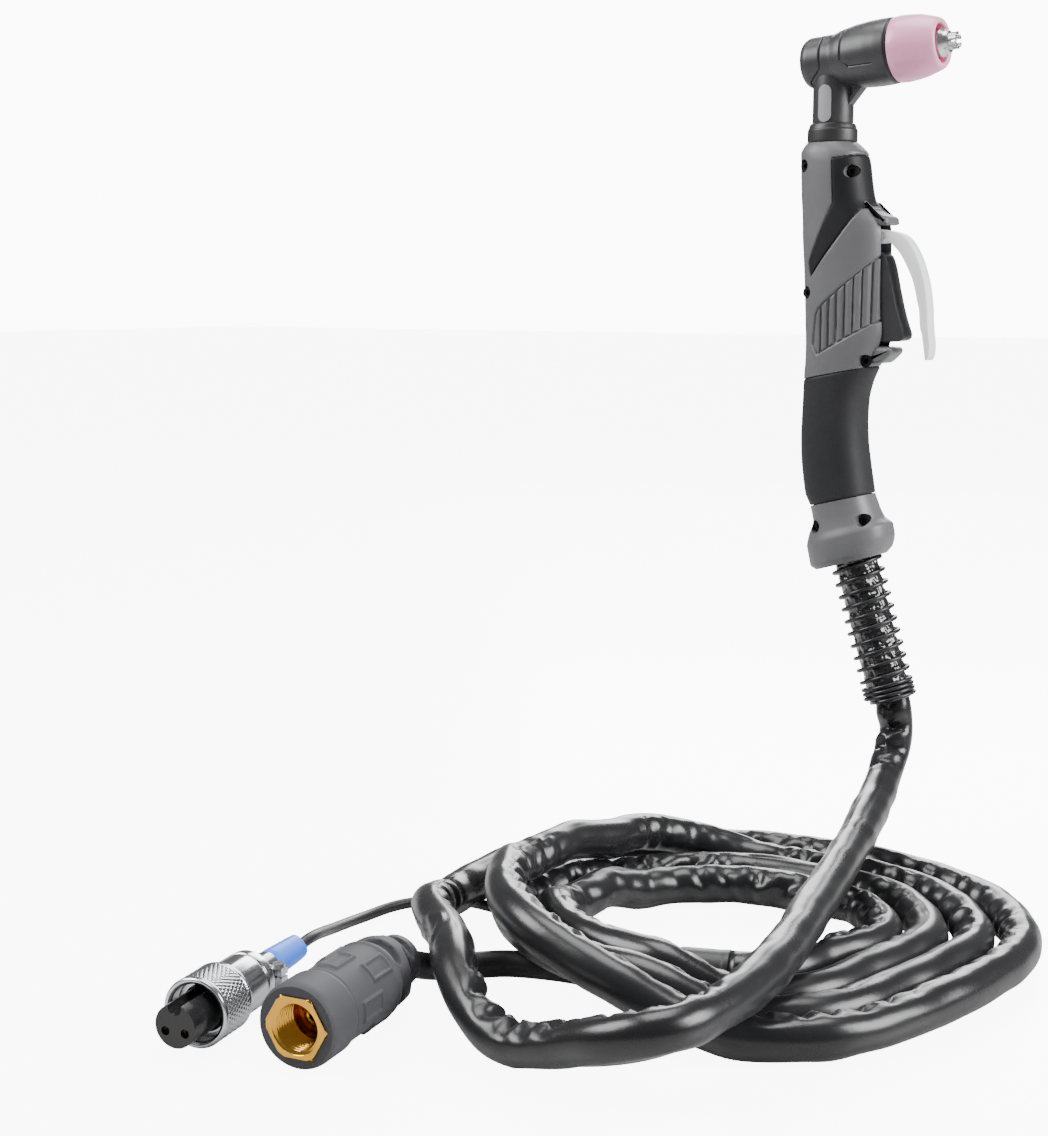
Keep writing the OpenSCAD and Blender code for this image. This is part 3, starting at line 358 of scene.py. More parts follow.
def turned(
    name: str,
    profile: list,
    origin: np.ndarray,
    axis: np.ndarray,
    sides: int = 96,
    rounding: float = 0.25,
) -> bpy.types.Object:
    """A turned piece: a closed profile of radius and place along an axis, carried round it.

    Args:
        name: the piece's name.
        profile: corners as (radius, place) in millimetres, in order round the section; radius 0 closes it on
            the axis.
        origin: where place 0 is, in metres.
        axis: direction of growing place.
        sides: points to a ring.
        rounding: how far each corner is cut back, in millimetres.

    Returns:
        The object.
    """
    p = np.array(profile, float)
    p = soften(p, rounding) * MM
    axis = unit(np.array(axis, float))
    side = unit(np.cross(axis, [0.0, 1.0, 0.0]) if abs(axis[1]) < 0.9 else np.cross(axis, [1.0, 0, 0]))
    up = np.cross(axis, side)
    a = circle(sides)
    ring = np.cos(a)[:, None] * side + np.sin(a)[:, None] * up
    points = origin + p[None, :, 1, None] * axis + p[None, :, 0, None] * ring[:, None, :]
    piece = make_mesh(name, points.reshape(-1, 3), grid_faces(sides, len(p), True, True))
    tidy(piece)
    return piece


def soften(p: np.ndarray, cut: float, steps: int = 3) -> np.ndarray:
    """Rounds a closed outline's corners with a short parabola, cut back no more than a third of a side.

    Args:
        p: corners, one a row.
        cut: how far along its sides a corner starts.
        steps: points added to a corner, less one.

    Returns:
        The rounded outline.
    """
    before, after = np.roll(p, 1, 0) - p, np.roll(p, -1, 0) - p
    lb, la = np.linalg.norm(before, axis=1), np.linalg.norm(after, axis=1)
    a = p + before * np.minimum(cut / np.maximum(lb, 1e-9), 0.33)[:, None]
    b = p + after * np.minimum(cut / np.maximum(la, 1e-9), 0.33)[:, None]
    on_axis = (np.abs(p[:, 0]) < 1e-9)[:, None]
    a, b = np.where(on_axis, p, a), np.where(on_axis, p, b)
    u = np.linspace(0, 1, steps + 1)[None, :, None]
    curve = (1 - u) ** 2 * a[:, None] + 2 * u * (1 - u) * p[:, None] + u**2 * b[:, None]
    return curve.reshape(-1, p.shape[1])


def lathe(
    name: str,
    place: np.ndarray,
    radius: np.ndarray,
    origin: np.ndarray,
    axis: np.ndarray,
    up: tuple = (0, 0, 1),
) -> bpy.types.Object:
    """A closed surface about an axis whose radius may change round it: the point in row i and column j stands
    place(i, j) along the axis and radius(i, j) from it, at j steps round from the up side.

    Args:
        name: the piece's name.
        place: places along the axis, in millimetres; the last row joins the first.
        radius: distances from the axis, in millimetres.
        origin: where place 0 is, in metres.
        axis: direction of growing place.
        up: a vector near the direction of column 0.

    Returns:
        The object.
    """
    place, radius = np.broadcast_arrays(place, radius)
    axis = unit(np.array(axis, float))
    across = np.array(up, float)
    across = unit(across - axis * (across @ axis))
    side = np.cross(axis, across)
    a = circle(radius.shape[1])[None, :, None]
    ring = np.cos(a) * across + np.sin(a) * side
    points = origin + (place[..., None] * axis + radius[..., None] * ring) * MM
    piece = make_mesh(name, points.reshape(-1, 3), grid_faces(*radius.shape, True, True))
    tidy(piece)
    return piece


def dense(profile: list, step: float, rounding: float) -> np.ndarray:
    """A closed profile with rounded corners and points about a step apart."""
    p = soften(np.array(profile, float), rounding, 5)
    return even(np.vstack([p, p[:1]]), step)[:-1]


def thick_sheet(name: str, outer: np.ndarray, inner: np.ndarray) -> bpy.types.Object:
    """A closed solid between two grids of points of the same size, walled along their four edges."""
    n, m = outer.shape[:2]
    size = n * m
    i = np.arange(size).reshape(n, m)
    quads = grid_faces(n, m)
    lines = (i[0], i[-1][::-1], i[:, 0][::-1], i[:, -1])
    walls = [np.column_stack([k[1:], k[:-1], k[:-1] + size, k[1:] + size]) for k in lines]
    points = np.vstack([outer.reshape(-1, 3), inner.reshape(-1, 3)]) * MM
    piece = make_mesh(name, points, np.vstack([quads, quads[:, ::-1] + size, *walls]))
    tidy(piece)
    return piece


def plate(name: str, outline: np.ndarray, low: float, high: float, rounding: float = 0.0) -> bpy.types.Object:
    """A side-view outline of x and z carried along Y, its two rims rounded by a quarter circle.

    Args:
        name: the piece's name.
        outline: closed outline in millimetres.
        low: lowest y, in millimetres.
        high: highest y, in millimetres.
        rounding: the rims' radius, in millimetres.

    Returns:
        The object.
    """
    p = np.array(outline, float)
    way = unit(np.roll(p, -1, 0) - np.roll(p, 1, 0))
    area = (p[:, 0] * np.roll(p[:, 1], -1) - np.roll(p[:, 0], -1) * p[:, 1]).sum()
    outward = np.column_stack([way[:, 1], -way[:, 0]]) * np.sign(area)
    k = np.linspace(0, math.pi / 2, 5) if rounding else np.zeros(1)
    back = rounding * (1 - np.sin(k)) if rounding else np.zeros(1)
    y = low + rounding * (1 - np.cos(k))
    back, y = np.concatenate([back, back[::-1]]), np.concatenate([y, high + low - y[::-1]])
    flat = p[None] - back[:, None, None] * outward[None]
    points = np.stack([flat[..., 0], np.broadcast_to(y[:, None], flat.shape[:2]), flat[..., 1]], -1) * MM
    n, rows = len(p), len(y)
    lids = (range(n), range((rows - 1) * n, rows * n))
    piece = make_mesh(name, points.reshape(-1, 3), grid_faces(rows, n, True), lids=lids)
    tidy(piece)
    return piece


def rod(name: str, start: np.ndarray, end: np.ndarray, radius: float, sides: int = 48) -> bpy.types.Object:
    """A plain round cutter between two places, in metres."""
    path = np.linspace(start, end, 3)
    first = (0, 0, 1) if abs(unit(path[2] - path[0])[2]) < 0.9 else (1, 0, 0)
    piece = swept_tube(name, path, radius, sides, first)
    tidy(piece)
    return piece


def cut(piece: bpy.types.Object, cutters: list) -> None:
    """Takes the cutters' space out of a piece and removes the cutters."""
    for cutter in cutters:
        modifier = piece.modifiers.new("cut", "BOOLEAN")
        modifier.operation, modifier.solver, modifier.object = "DIFFERENCE", "EXACT", cutter
    seen = bpy.context.evaluated_depsgraph_get()
    mesh = bpy.data.meshes.new_from_object(piece.evaluated_get(seen))
    piece.modifiers.clear()
    piece.data = mesh
    for cutter in cutters:
        bpy.data.objects.remove(cutter, do_unlink=True)


def crisp(piece: bpy.types.Object, degrees: float = 38) -> bpy.types.Object:
    """Shades a piece round, save over edges that turn by more than an angle."""
    piece.data.polygons.foreach_set("use_smooth", np.full(len(piece.data.polygons), True))
    piece.data.set_sharp_from_angle(angle=math.radians(degrees))
    return piece


def tidy(piece: bpy.types.Object, distance: float = 1e-6) -> None:
    """Merges points that coincide and turns every face outwards."""
    mesh = bmesh.new()
    mesh.from_mesh(piece.data)
    bmesh.ops.remove_doubles(mesh, verts=mesh.verts, dist=distance)
    bmesh.ops.dissolve_degenerate(mesh, edges=mesh.edges, dist=1e-7)
    bmesh.ops.recalc_face_normals(mesh, faces=mesh.faces)
    mesh.to_mesh(piece.data)
    mesh.free()


# ================= finishes =================


def linear(hex_colour: str) -> tuple:
    """An sRGB hex colour as the linear colour that a shader takes."""
    parts = [int(hex_colour[k : k + 2], 16) / 255 for k in (1, 3, 5)]
    return tuple(c / 12.92 if c <= 0.04045 else ((c + 0.055) / 1.055) ** 2.4 for c in parts) + (1.0,)


def add_node(tree: bpy.types.NodeTree, kind: str, settings: dict, values: dict, links: dict) -> bpy.types.Node:
    """Adds a node, sets its options and its sockets' values, and links sockets into it.

    Args:
        tree: the material's nodes.
        kind: Blender's name for the node.
        settings: the node's own options.
        values: socket name to value.
        links: socket name to the output that feeds it.

    Returns:
        The node.
    """
    node = tree.nodes.new(kind)
    for key, value in settings.items():
        setattr(node, key, value)
    for key, value in values.items():
        node.inputs[key].default_value = value
    for key, output in links.items():
        tree.links.new(output, node.inputs[key])
    return node


class Surface(Enum):
    """How a surface was made, which sets its fine pattern."""

    MOULDED = "spark-eroded mould grain"
    SMOOTH = "smooth, with a little unevenness"
    COATED = "coated cloth with a fine leathery grain"
    TURNED = "turned or plated metal with faint rings"
    FIRED = "fired ceramic, slightly mottled"


@dataclass(frozen=True)
class Finish:
    """A material from what the real one is and how its surface was made."""

    name: str
    colour: str
    shade: str
    roughness: float
    surface: Surface
    metallic: float = 0.0
    ior: float = 1.5
    grain_mm: float = 0.5
    depth_mm: float = 0.02
    patch_mm: float = 18.0
    coat: float = 0.0
    coat_roughness: float = 0.1
    sheen: float = 0.0
    scatter: float = 0.0
    specular: float = 0.5

    def build(self) -> bpy.types.Material:
        """Builds the node material: a base colour that drifts over patch_mm, a grain of grain_mm in its relief, and
        a roughness that follows the drift.

        Returns:
            The material.
        """
        material = bpy.data.materials.new(self.name)
        material.use_nodes = True
        tree = material.node_tree
        shader = tree.nodes["Principled BSDF"]
        place = add_node(tree, "ShaderNodeTexCoord", {}, {}, {}).outputs["Object"]
        patch = self.noise(tree, place, self.patch_mm, {"Detail": 5.0, "Roughness": 0.6})
        colours = add_node(tree, "ShaderNodeMix", {"data_type": "RGBA"}, {}, {"Factor": patch.outputs["Fac"]})
        colours.inputs[6].default_value = linear(self.colour)
        colours.inputs[7].default_value = linear(self.shade)
        tree.links.new(colours.outputs[2], shader.inputs["Base Color"])
        grain = self.grain(tree, place)
        relief = add_node(
            tree, "ShaderNodeBump", {}, {"Strength": 1.0, "Distance": self.depth_mm * MM}, {"Height": grain}
        )
        tree.links.new(relief.outputs["Normal"], shader.inputs["Normal"])
        low, high = max(0.02, self.roughness - 0.07), min(1.0, self.roughness + 0.07)
        spread = add_node(
            tree, "ShaderNodeMapRange", {},
            {"From Min": 0.2, "From Max": 0.8, "To Min": low, "To Max": high}, {"Value": patch.outputs["Fac"]},
        )
        tree.links.new(spread.outputs["Result"], shader.inputs["Roughness"])
        for socket, value in (
            ("Metallic", self.metallic), ("IOR", self.ior), ("Coat Weight", self.coat),
            ("Coat Roughness", self.coat_roughness), ("Sheen Weight", self.sheen),
            ("Subsurface Weight", self.scatter), ("Specular IOR Level", self.specular),
        ):
            shader.inputs[socket].default_value = value
        if self.scatter:
            shader.inputs["Subsurface Scale"].default_value = 0.004
        return material

    def grain(self, tree: bpy.types.NodeTree, place: bpy.types.NodeSocket) -> bpy.types.NodeSocket:
        """The fine pattern in the relief, chosen by how the surface was made.

        Args:
            tree: the material's nodes.
            place: object coordinates.

        Returns:
            A socket with the pattern's height.
        """
        if self.surface is Surface.COATED:
            scale = 1 / (self.grain_mm * MM)
            cells = add_node(
                tree, "ShaderNodeTexVoronoi", {"feature": "DISTANCE_TO_EDGE"}, {"Scale": scale}, {"Vector": place}
            )
            fine = add_node(
                tree, "ShaderNodeTexNoise", {}, {"Scale": scale * 0.3, "Detail": 4.0}, {"Vector": place}
            )
            return add_node(
                tree, "ShaderNodeMath", {"operation": "MULTIPLY_ADD"}, {1: 0.6},
                {0: cells.outputs["Distance"], 2: fine.outputs["Fac"]},
            ).outputs[0]
        values = {
            Surface.TURNED: {"Detail": 2.0}, Surface.MOULDED: {"Detail": 2.0, "Roughness": 0.6},
            Surface.SMOOTH: {"Detail": 1.0, "Roughness": 0.6}, Surface.FIRED: {"Detail": 4.0, "Roughness": 0.6},
        }[self.surface]
        return self.noise(tree, place, self.grain_mm, values).outputs["Fac"]

    def noise(
        self, tree: bpy.types.NodeTree, place: bpy.types.NodeSocket, size_mm: float, values: dict
    ) -> bpy.types.Node:
        """A noise texture whose features are about size_mm across."""
        return add_node(tree, "ShaderNodeTexNoise", {}, {"Scale": 1 / (size_mm * MM), **values}, {"Vector": place})


FINISHES = {
    "head_plastic": Finish(
        "Glass-filled nylon, spark-eroded black", "#2a2a2c", "#343436", 0.4, Surface.MOULDED,
        grain_mm=0.35,
    ),
    "insert_plastic": Finish("Light grey ABS, satin", "#8a8a8c", "#98989a", 0.38, Surface.SMOOTH, depth_mm=0.005),
    "seal_rubber": Finish("EPDM rubber, smooth black", "#1c1c1d", "#262627", 0.45, Surface.SMOOTH, grain_mm=1.0),
    "cup_ceramic": Finish(
        "Pink alumina, fired", "#e290b3", "#eca4c3", 0.36, Surface.FIRED,
        grain_mm=0.6, depth_mm=0.01, scatter=0.06, coat=0.15,
    ),
    # Dark red for the lining seen in the cup's mouth, between its rim and the nozzle.
    "liner_red": Finish("Dark red lining inside the cup mouth", "#7d2237", "#a0324c", 0.5, Surface.SMOOTH),
    "nozzle_chrome": Finish(
        "Copper nozzle, nickel plated", "#b9b9bb", "#d6d6d8", 0.24, Surface.TURNED,
        metallic=1.0, depth_mm=0.004,
    ),
    "copper": Finish("Turned copper", "#b9714a", "#c98660", 0.3, Surface.TURNED, metallic=1.0, depth_mm=0.004),
    "brass": Finish(
        "Turned brass", "#cf932f", "#efb955", 0.2, Surface.TURNED,
        metallic=1.0, depth_mm=0.004, patch_mm=8,
    ),
    "handle_plastic": Finish(
        "Nylon housing, fine eroded grain", "#565658", "#606062", 0.42, Surface.MOULDED,
        grain_mm=0.4, depth_mm=0.03,
    ),
    "inlay_plastic": Finish(
        "Nylon inlay, darker", "#131315", "#1b1b1d", 0.5, Surface.MOULDED,
        grain_mm=0.4, depth_mm=0.03, specular=0.2,
    ),
    "grip_rubber": Finish(
        "Thermoplastic elastomer grip", "#222224", "#2b2b2d", 0.55, Surface.MOULDED,
        grain_mm=0.6, depth_mm=0.03, specular=0.2,
    ),
    "trigger_plastic": Finish(
        "Nylon trigger, satin", "#2a2a2c", "#353537", 0.45, Surface.MOULDED,
        grain_mm=0.4, specular=0.3,
    ),
    "lever_plastic": Finish(
        "Natural polypropylene, milky", "#e4e5e7", "#f2f3f4", 0.35, Surface.SMOOTH,
        grain_mm=2.0, scatter=0.15, specular=0.4,
    ),
    "steel": Finish("Zinc-plated steel", "#a6a7a9", "#bcbdbf", 0.35, Surface.TURNED, metallic=1.0, depth_mm=0.005),
    "black_steel": Finish(
        "Black-oxide steel screw", "#1d1d1f", "#2a2a2c", 0.4, Surface.TURNED,
        metallic=0.8, depth_mm=0.005,
    ),
    "switch_plastic": Finish("Switch housing, PBT", "#26314a", "#2d3956", 0.5, Surface.MOULDED),
    "hose_rubber": Finish("Rubber hose cover", "#1b1b1c", "#242425", 0.45, Surface.SMOOTH, grain_mm=1.5),
    "wire_pvc": Finish("PVC wire insulation", "#8c2121", "#a02a2a", 0.4, Surface.SMOOTH),
    "spring_steel": Finish(
        "Phosphated spring wire", "#2b2b2d", "#48484b", 0.33, Surface.TURNED,
        metallic=0.85, depth_mm=0.006, patch_mm=6,
    ),
    "sleeve_rubber": Finish(
        "Shrunk polyolefin tube, glossy black", "#161617", "#202021", 0.2, Surface.SMOOTH,
        grain_mm=2.5, depth_mm=0.12, coat=0.5,
    ),
    "sheath_fabric": Finish(
        "PU-coated sheath cloth", "#121214", "#1a1a1c", 0.28, Surface.COATED,
        grain_mm=0.8, depth_mm=0.05, patch_mm=60, sheen=0.03,
    ),
    "boot_rubber": Finish(
        "Moulded rubber boot, matt", "#3c3c40", "#46464a", 0.62, Surface.MOULDED,
        grain_mm=0.7, depth_mm=0.05, specular=0.3,
    ),
    "insert_black": Finish("Bakelite insert", "#141415", "#1e1e1f", 0.25, Surface.SMOOTH),
    "plug_chrome": Finish(
        "Satin chrome on zinc", "#c2c3c6", "#dcdde0", 0.2, Surface.TURNED,
        metallic=1.0, depth_mm=0.004,
    ),
    "shrink_blue": Finish(
        "Blue heat-shrink tube", "#1f5fdc", "#3f82f0", 0.4, Surface.SMOOTH,
        grain_mm=1.5, depth_mm=0.03,
    ),
}


class Wardrobe:
    """Holds one built material for each finish, and dresses pieces with them."""

    def __init__(self) -> None:
        """Starts with no material built."""
        self.built: dict = {}

    def get(self, slot: str) -> bpy.types.Material:
        """The material of a slot, built on first use."""
        if slot not in self.built:
            self.built[slot] = FINISHES[slot].build()
        return self.built[slot]

    def dress(self, piece: bpy.types.Object, slot: str) -> bpy.types.Object:
        """Gives a piece the slot's material."""
        piece.data.materials.clear()
        piece.data.materials.append(self.get(slot))
        return piece


@dataclass
class Shop:
    """What every sub-assembly needs: the frame, the finishes and the list of pieces made."""

    frame: dict
    wardrobe: Wardrobe = field(default_factory=Wardrobe)
    replaced: set = field(default_factory=set)

    def place(self, piece: bpy.types.Object, slot: str, body: str = "torch", nodes: tuple = ()) -> bpy.types.Object:
        """Dresses a finished piece, lets it ride on its body and hides the nodes it stands for.

        Args:
            piece: the object.
            slot: the record's material slot.
            body: the body it moves with.
            nodes: the nodes it replaces.

        Returns:
            The piece.
        """
        self.wardrobe.dress(piece, slot)
        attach(piece, body)
        if nodes:
            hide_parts(*nodes)
            self.replaced.update(nodes)
        LOG.info("%s: %d faces, for %s", piece.name, len(piece.data.polygons), ", ".join(nodes) or "detail")
        return piece


# ================= studio =================


@dataclass
class Studio:
    """White floor, soft boxes and the camera."""

    camera_at: tuple = (0.3692, -0.7771, 0.059)
    heading: float = math.radians(35)
    pitch_down: float = math.radians(8.5)
    lens: float = 58.9
    floor_size: float = 9.0
    ambient: float = 0.2
    backdrop: float = 11.0
    floor_glow: float = 8.5
    floor_bounce: float = 0.12
    floor_roughness: float = 0.28
    floor_specular: float = 0.35

    def build(self) -> None:
        """Makes the camera, the floor, the lights and the sky."""
        self.camera()
        self.floor()
        self.light("Key box", (-0.9, -0.8, 0.9), (0.0, -0.05, -0.02), 0.8, 30)
        self.light("Right box", (1.1, 0.15, 0.5), (0.02, -0.05, 0.0), 0.7, 30)
        self.light("Top box", (-0.1, 0.0, 1.5), (0, -0.1, -0.1), 1.0, 28)
        self.light("Back box", (-0.6, 1.3, 0.5), (0, 0, 0), 0.9, 26)
        world = bpy.data.worlds.new("White room")
        bpy.context.scene.world = world
        world.use_nodes = True
        world.node_tree.nodes["Background"].inputs["Color"].default_value = (1, 1, 1, 1)
        seen = self.seen_only(world.node_tree, self.ambient, self.backdrop)
        world.node_tree.links.new(seen, world.node_tree.nodes["Background"].inputs["Strength"])

    def seen_only(self, tree: bpy.types.NodeTree, low: float, high: float) -> bpy.types.NodeSocket:
        """A strength for light that the stage gives off: high where it is seen directly, low where it only
        lights things. It goes by the kind of ray and not by where the camera stands.

        Args:
            tree: the nodes of the world or of the floor's material.
            low: the strength as a light.
            high: the strength where it is seen.

        Returns:
            A socket with the strength.
        """
        path = add_node(tree, "ShaderNodeLightPath", {}, {}, {})
        return add_node(
            tree, "ShaderNodeMapRange", {}, {"To Min": low, "To Max": high}, {"Value": path.outputs["Is Camera Ray"]}
        ).outputs["Result"]

    def camera(self) -> None:
        """A camera that looks along its heading, turned left of +Y and tipped down."""
        data = bpy.data.cameras.new("Camera")
        data.lens = self.lens
        data.sensor_width = 36
        data.clip_start, data.clip_end = 0.05, 30
        camera = bpy.data.objects.new("Camera", data)
        camera.location = self.camera_at
        camera.rotation_euler = (math.pi / 2 - self.pitch_down, 0, self.heading)
        bpy.context.scene.collection.objects.link(camera)
        bpy.context.scene.camera = camera

    def floor(self) -> None:
        """A pale, slightly glossy floor a hair below the lead."""
        s = self.floor_size
        points = np.array([[-s, -s, 0], [s, -s, 0], [s, s, 0], [-s, s, 0]]) + [0, 0, FLOOR_Z - 0.0001]
        floor = make_mesh("studio_floor", points, np.array([[0, 1, 2, 3]]), smooth=False)
        material = bpy.data.materials.new("White acrylic sheet")
        material.use_nodes = True
        shader = material.node_tree.nodes["Principled BSDF"]
        shader.inputs["Base Color"].default_value = linear("#bcbcbc")
        shader.inputs["Roughness"].default_value = self.floor_roughness
        shader.inputs["Specular IOR Level"].default_value = self.floor_specular
        shader.inputs["Emission Color"].default_value = (1, 1, 1, 1)
        glow = self.seen_only(material.node_tree, self.floor_bounce, self.floor_glow)
        material.node_tree.links.new(glow, shader.inputs["Emission Strength"])
        floor.data.materials.append(material)

    def light(self, name: str, at: tuple, towards: tuple, size: float, power: float) -> None:
        """A square soft box.

        Args:
            name: its name.
            at: where it stands.
            towards: what it faces.
            size: its side.
            power: watts.
        """
        data = bpy.data.lights.new(name, "AREA")
        data.size, data.energy = size, power
        lamp = bpy.data.objects.new(name, data)
        lamp.location = at
        lamp.rotation_euler = (Vector(towards) - Vector(at)).to_track_quat("-Z", "Y").to_euler()
        bpy.context.scene.collection.objects.link(lamp)


# ================= lead, hose and cable =================


@dataclass
class Lead:
    """The sheathed lead: a riser out of the strain relief, four turns on the floor, and what leaves its far end."""

    shop: Shop
    sheath_radius: float = 8.2 * MM
    pile_middle: tuple = (-67.5, -147.0)
    pile_radius: float = 116.2
    pile_step: float = 17.5
    layer: float = 17.3
    first_turn: float = 0.1
    last_turn: float = 4.0
    loop_rings: int = 24
    band_length: float = 20 * MM
    sheath_step: float = 2.6 * MM
    sheath_sides: int = 56
    fold_depth: float = 4.0 * MM
    fold_pitch: float = 13 * MM
    fine_fold_pitch: float = 6.1 * MM
    seam_height: float = 0.5 * MM
    stitch_depth: float = 0.28 * MM
    stitch_off: float = 2.4 * MM
    hose_radius: float = 5 * MM
    cable_radius: float = 2.2 * MM
    riser_route: tuple = (
        (20.9, -14.6, -130), (21.7, -16.6, -141.5), (16.9, -25.1, -153), (9.7, -44.2, -160), (-1.6, -73.8, -164.6),
        (-15.1, -110.6, -167.2), (-26.5, -141, -168.5), (-41.9, -181.3, -169.6), (-58.4, -224.3, -170),
        (-73, -253.9, -170), (-89.3, -278.8, -170), (-105.3, -290.5, -170.8), (-120.5, -286.5, -174.8),
        (-135.5, -273.5, -182.2),
    )
    hose_route: tuple = (
        (-107, -193.5, -190.8), (-121, -188.5, -190.8), (-137, -181.5, -190.8), (-154, -177.5, -190.8),
        (-170, -180.2, -190.6), (-182.3, -187.8, -188),
    )
    cable_route: tuple = (
        (-104.5, -184.5, -193), (-114, -178.2, -193.7), (-123.5, -168.3, -193.7), (-132.5, -154.5, -193.7),
        (-141, -137, -193.7), (-150, -119, -193.7), (-163, -103, -193.7), (-180, -95, -193.7),
        (-199, -101, -193.7), (-214, -119, -193.2), (-222.5, -143, -189),
    )

    def pile_point(self, turn: np.ndarray) -> np.ndarray:
        """Places on the pile by turn: an angle of 270 - 360t degrees, a radius that steps in from turn to
        turn, and a height that rises where the second turn lies on the third and where the cords pass under.

        Args:
            turn: turn numbers.

        Returns:
            Places in metres.
        """
        t = np.asarray(turn, float)
        degrees = 270 - 360 * t
        a = degrees % 360
        flat = 8 * bump(a, 20, 60, 150, 185) + 9 * bump(a, 280, 312, 320, 358)
        radius = self.pile_radius - self.pile_step * np.maximum(0, t - 0.5) + 24 * (1 - ease(0.1, 0.2, t)) - flat
        radius = radius - 18 * bump(t, 1.12, 1.25, 1.38, 1.5) - 8 * ease(3.75, 4.1, t)
        near = t < 0.5
        falling = 1 - np.where(near, ease(210, 234, a), ease(240, 268, a))
        lift = (5.2 * ease(120, 146, a) + np.where(near, 7.6, 5.6) * ease(166, 188, a)) * falling * (t <= 3.9)
        height = FLOOR_Z / MM + self.sheath_radius / MM + 0.1 + lift + self.layer * bump(t, 1.04, 1.16, 1.42, 1.56)
        angle = np.radians(degrees)
        return lane(np.column_stack([
            self.pile_middle[0] + radius * np.cos(angle), self.pile_middle[1] + radius * np.sin(angle), height]))

    def end_turn(self) -> float:
        """Turn number at which the coil ends."""
        return self.first_turn + round((self.last_turn - self.first_turn) * self.loop_rings) / self.loop_rings

    def coil_end(self) -> tuple:
        """Where the coil ends and the way the lead points there, from turns just before and after."""
        end = self.end_turn()
        near = self.pile_point(np.array([end - 0.002, end, end + 0.002]))
        return near[1], unit(near[2] - near[0])

    def build(self) -> None:
        start = RELIEF_TOP + (RELIEF_LENGTH - 11 * MM) * RELIEF_WAY
        joint = self.pile_point(np.array([self.first_turn]))
        riser = spline(np.vstack([start[None], lane(list(self.riser_route)), joint]), 12)
        turns = np.arange(self.first_turn, self.end_turn() + 1e-9, 1 / 240)
        path = even(np.vstack([riser[:-1], self.pile_point(turns)]), self.sheath_step)
        sheath = self.sheath(path)
        self.shop.place(sheath, "sheath_fabric", nodes=("lead_riser", "lead_coil"))
        self.end_band()
        self.tails()

    def sheath(self, path: np.ndarray) -> bpy.types.Object:
        """The soft sheath round the hoses: a tube whose radius holds a stitched double seam along one side,
        slack that gathers in cross folds on the inside of each bend, and slow unevenness.

        Args:
            path: the centre line, evenly spaced.

        Returns:
            The object.
        """
        sides = self.sheath_sides
        tangents = directions(path)
        normals = carried_normals(tangents[::-1], np.array([0, 0, 1.0]))[::-1]
        across = np.cross(tangents, normals)
        run = running(path)[:, None]
        a = circle(sides)[None, :]
        bend = np.gradient(tangents, axis=0) / np.gradient(run, axis=0)
        kernel = np.hanning(31) / np.hanning(31).sum()
        bend = np.column_stack([np.convolve(np.pad(bend[:, k], 15, mode="edge"), kernel, "valid") for k in range(3)])
        gather = unit(bend) + [0, 0, 0.45]
        inner = np.arctan2((gather * across).sum(1), (gather * normals).sum(1))[:, None]
        curvature = np.linalg.norm(bend, axis=1)[:, None]
        r = np.full((len(path), sides), self.sheath_radius * 0.965)
        arc = a * self.sheath_radius
        inside = np.clip(np.cos(a - inner), 0, 1) ** 1.2
        slack = np.clip(curvature * 0.11, 0, 1.0)
        fold_run = run + 1.6 * MM * ripples(3, run, arc * 0, 40 * MM)
        folds = np.sin(2 * math.pi * fold_run / self.fold_pitch + 1.6 * ripples(5, run, arc, 55 * MM))
        fine = np.sin(2 * math.pi * fold_run / self.fine_fold_pitch + 2 * ripples(7, run, arc, 30 * MM))
        folds = 0.5 * (folds + 0.45 * fine)
        gate = np.clip(0.55 + 0.75 * ripples(11, run, arc * 0, 120 * MM), 0, 1.2)
        crease = folds - 0.5 * np.abs(folds) - 0.25
        r += self.fold_depth * inside * slack * gate * crease
        r += 0.32 * MM * ripples(13, run, arc, 70 * MM) + 0.16 * MM * ripples(17, run, arc, 22 * MM)
        seam_at = inner + math.pi * 0.62 + 0.35 * ripples(19, run, run * 0, 260 * MM)
        off = (a - seam_at + math.pi) % (2 * math.pi) - math.pi
        d = off * self.sheath_radius
        stitches = np.exp(-(((np.abs(d) - self.stitch_off) / (0.7 * MM)) ** 2))
        r += self.seam_height * np.exp(-((d / (1.1 * MM)) ** 2)) - self.stitch_depth * stitches
        ends = np.minimum(run, run[-1] - run)
        r = self.sheath_radius * 0.97 + (r - self.sheath_radius * 0.97) * ease(0, 14 * MM, ends)
        ring = np.cos(a)[..., None] * normals[:, None] + np.sin(a)[..., None] * across[:, None]
        points = path[:, None] + r[..., None] * ring
        points[..., 2] = np.maximum(points[..., 2], FLOOR_Z + 0.1 * MM)
        return closed_tube("lead_sheath", path, points)

    def end_band(self) -> None:
        """The smooth band shrunk over the sheath's end, where the hose and the cable come out."""
        at, way = self.coil_end()
        r, length = self.sheath_radius / MM - 0.1, self.band_length / MM
        profile = [(0, 0.05), (r, 0.05), (r, 2), (r - 0.2, 3), (r - 0.2, length - 2.5), (r - 1, length), (0, length)]
        band = turned("sheath_band", profile, at, way, 64, 0.4)
        self.shop.place(crisp(band), "seal_rubber", nodes=("lead_end_band",))

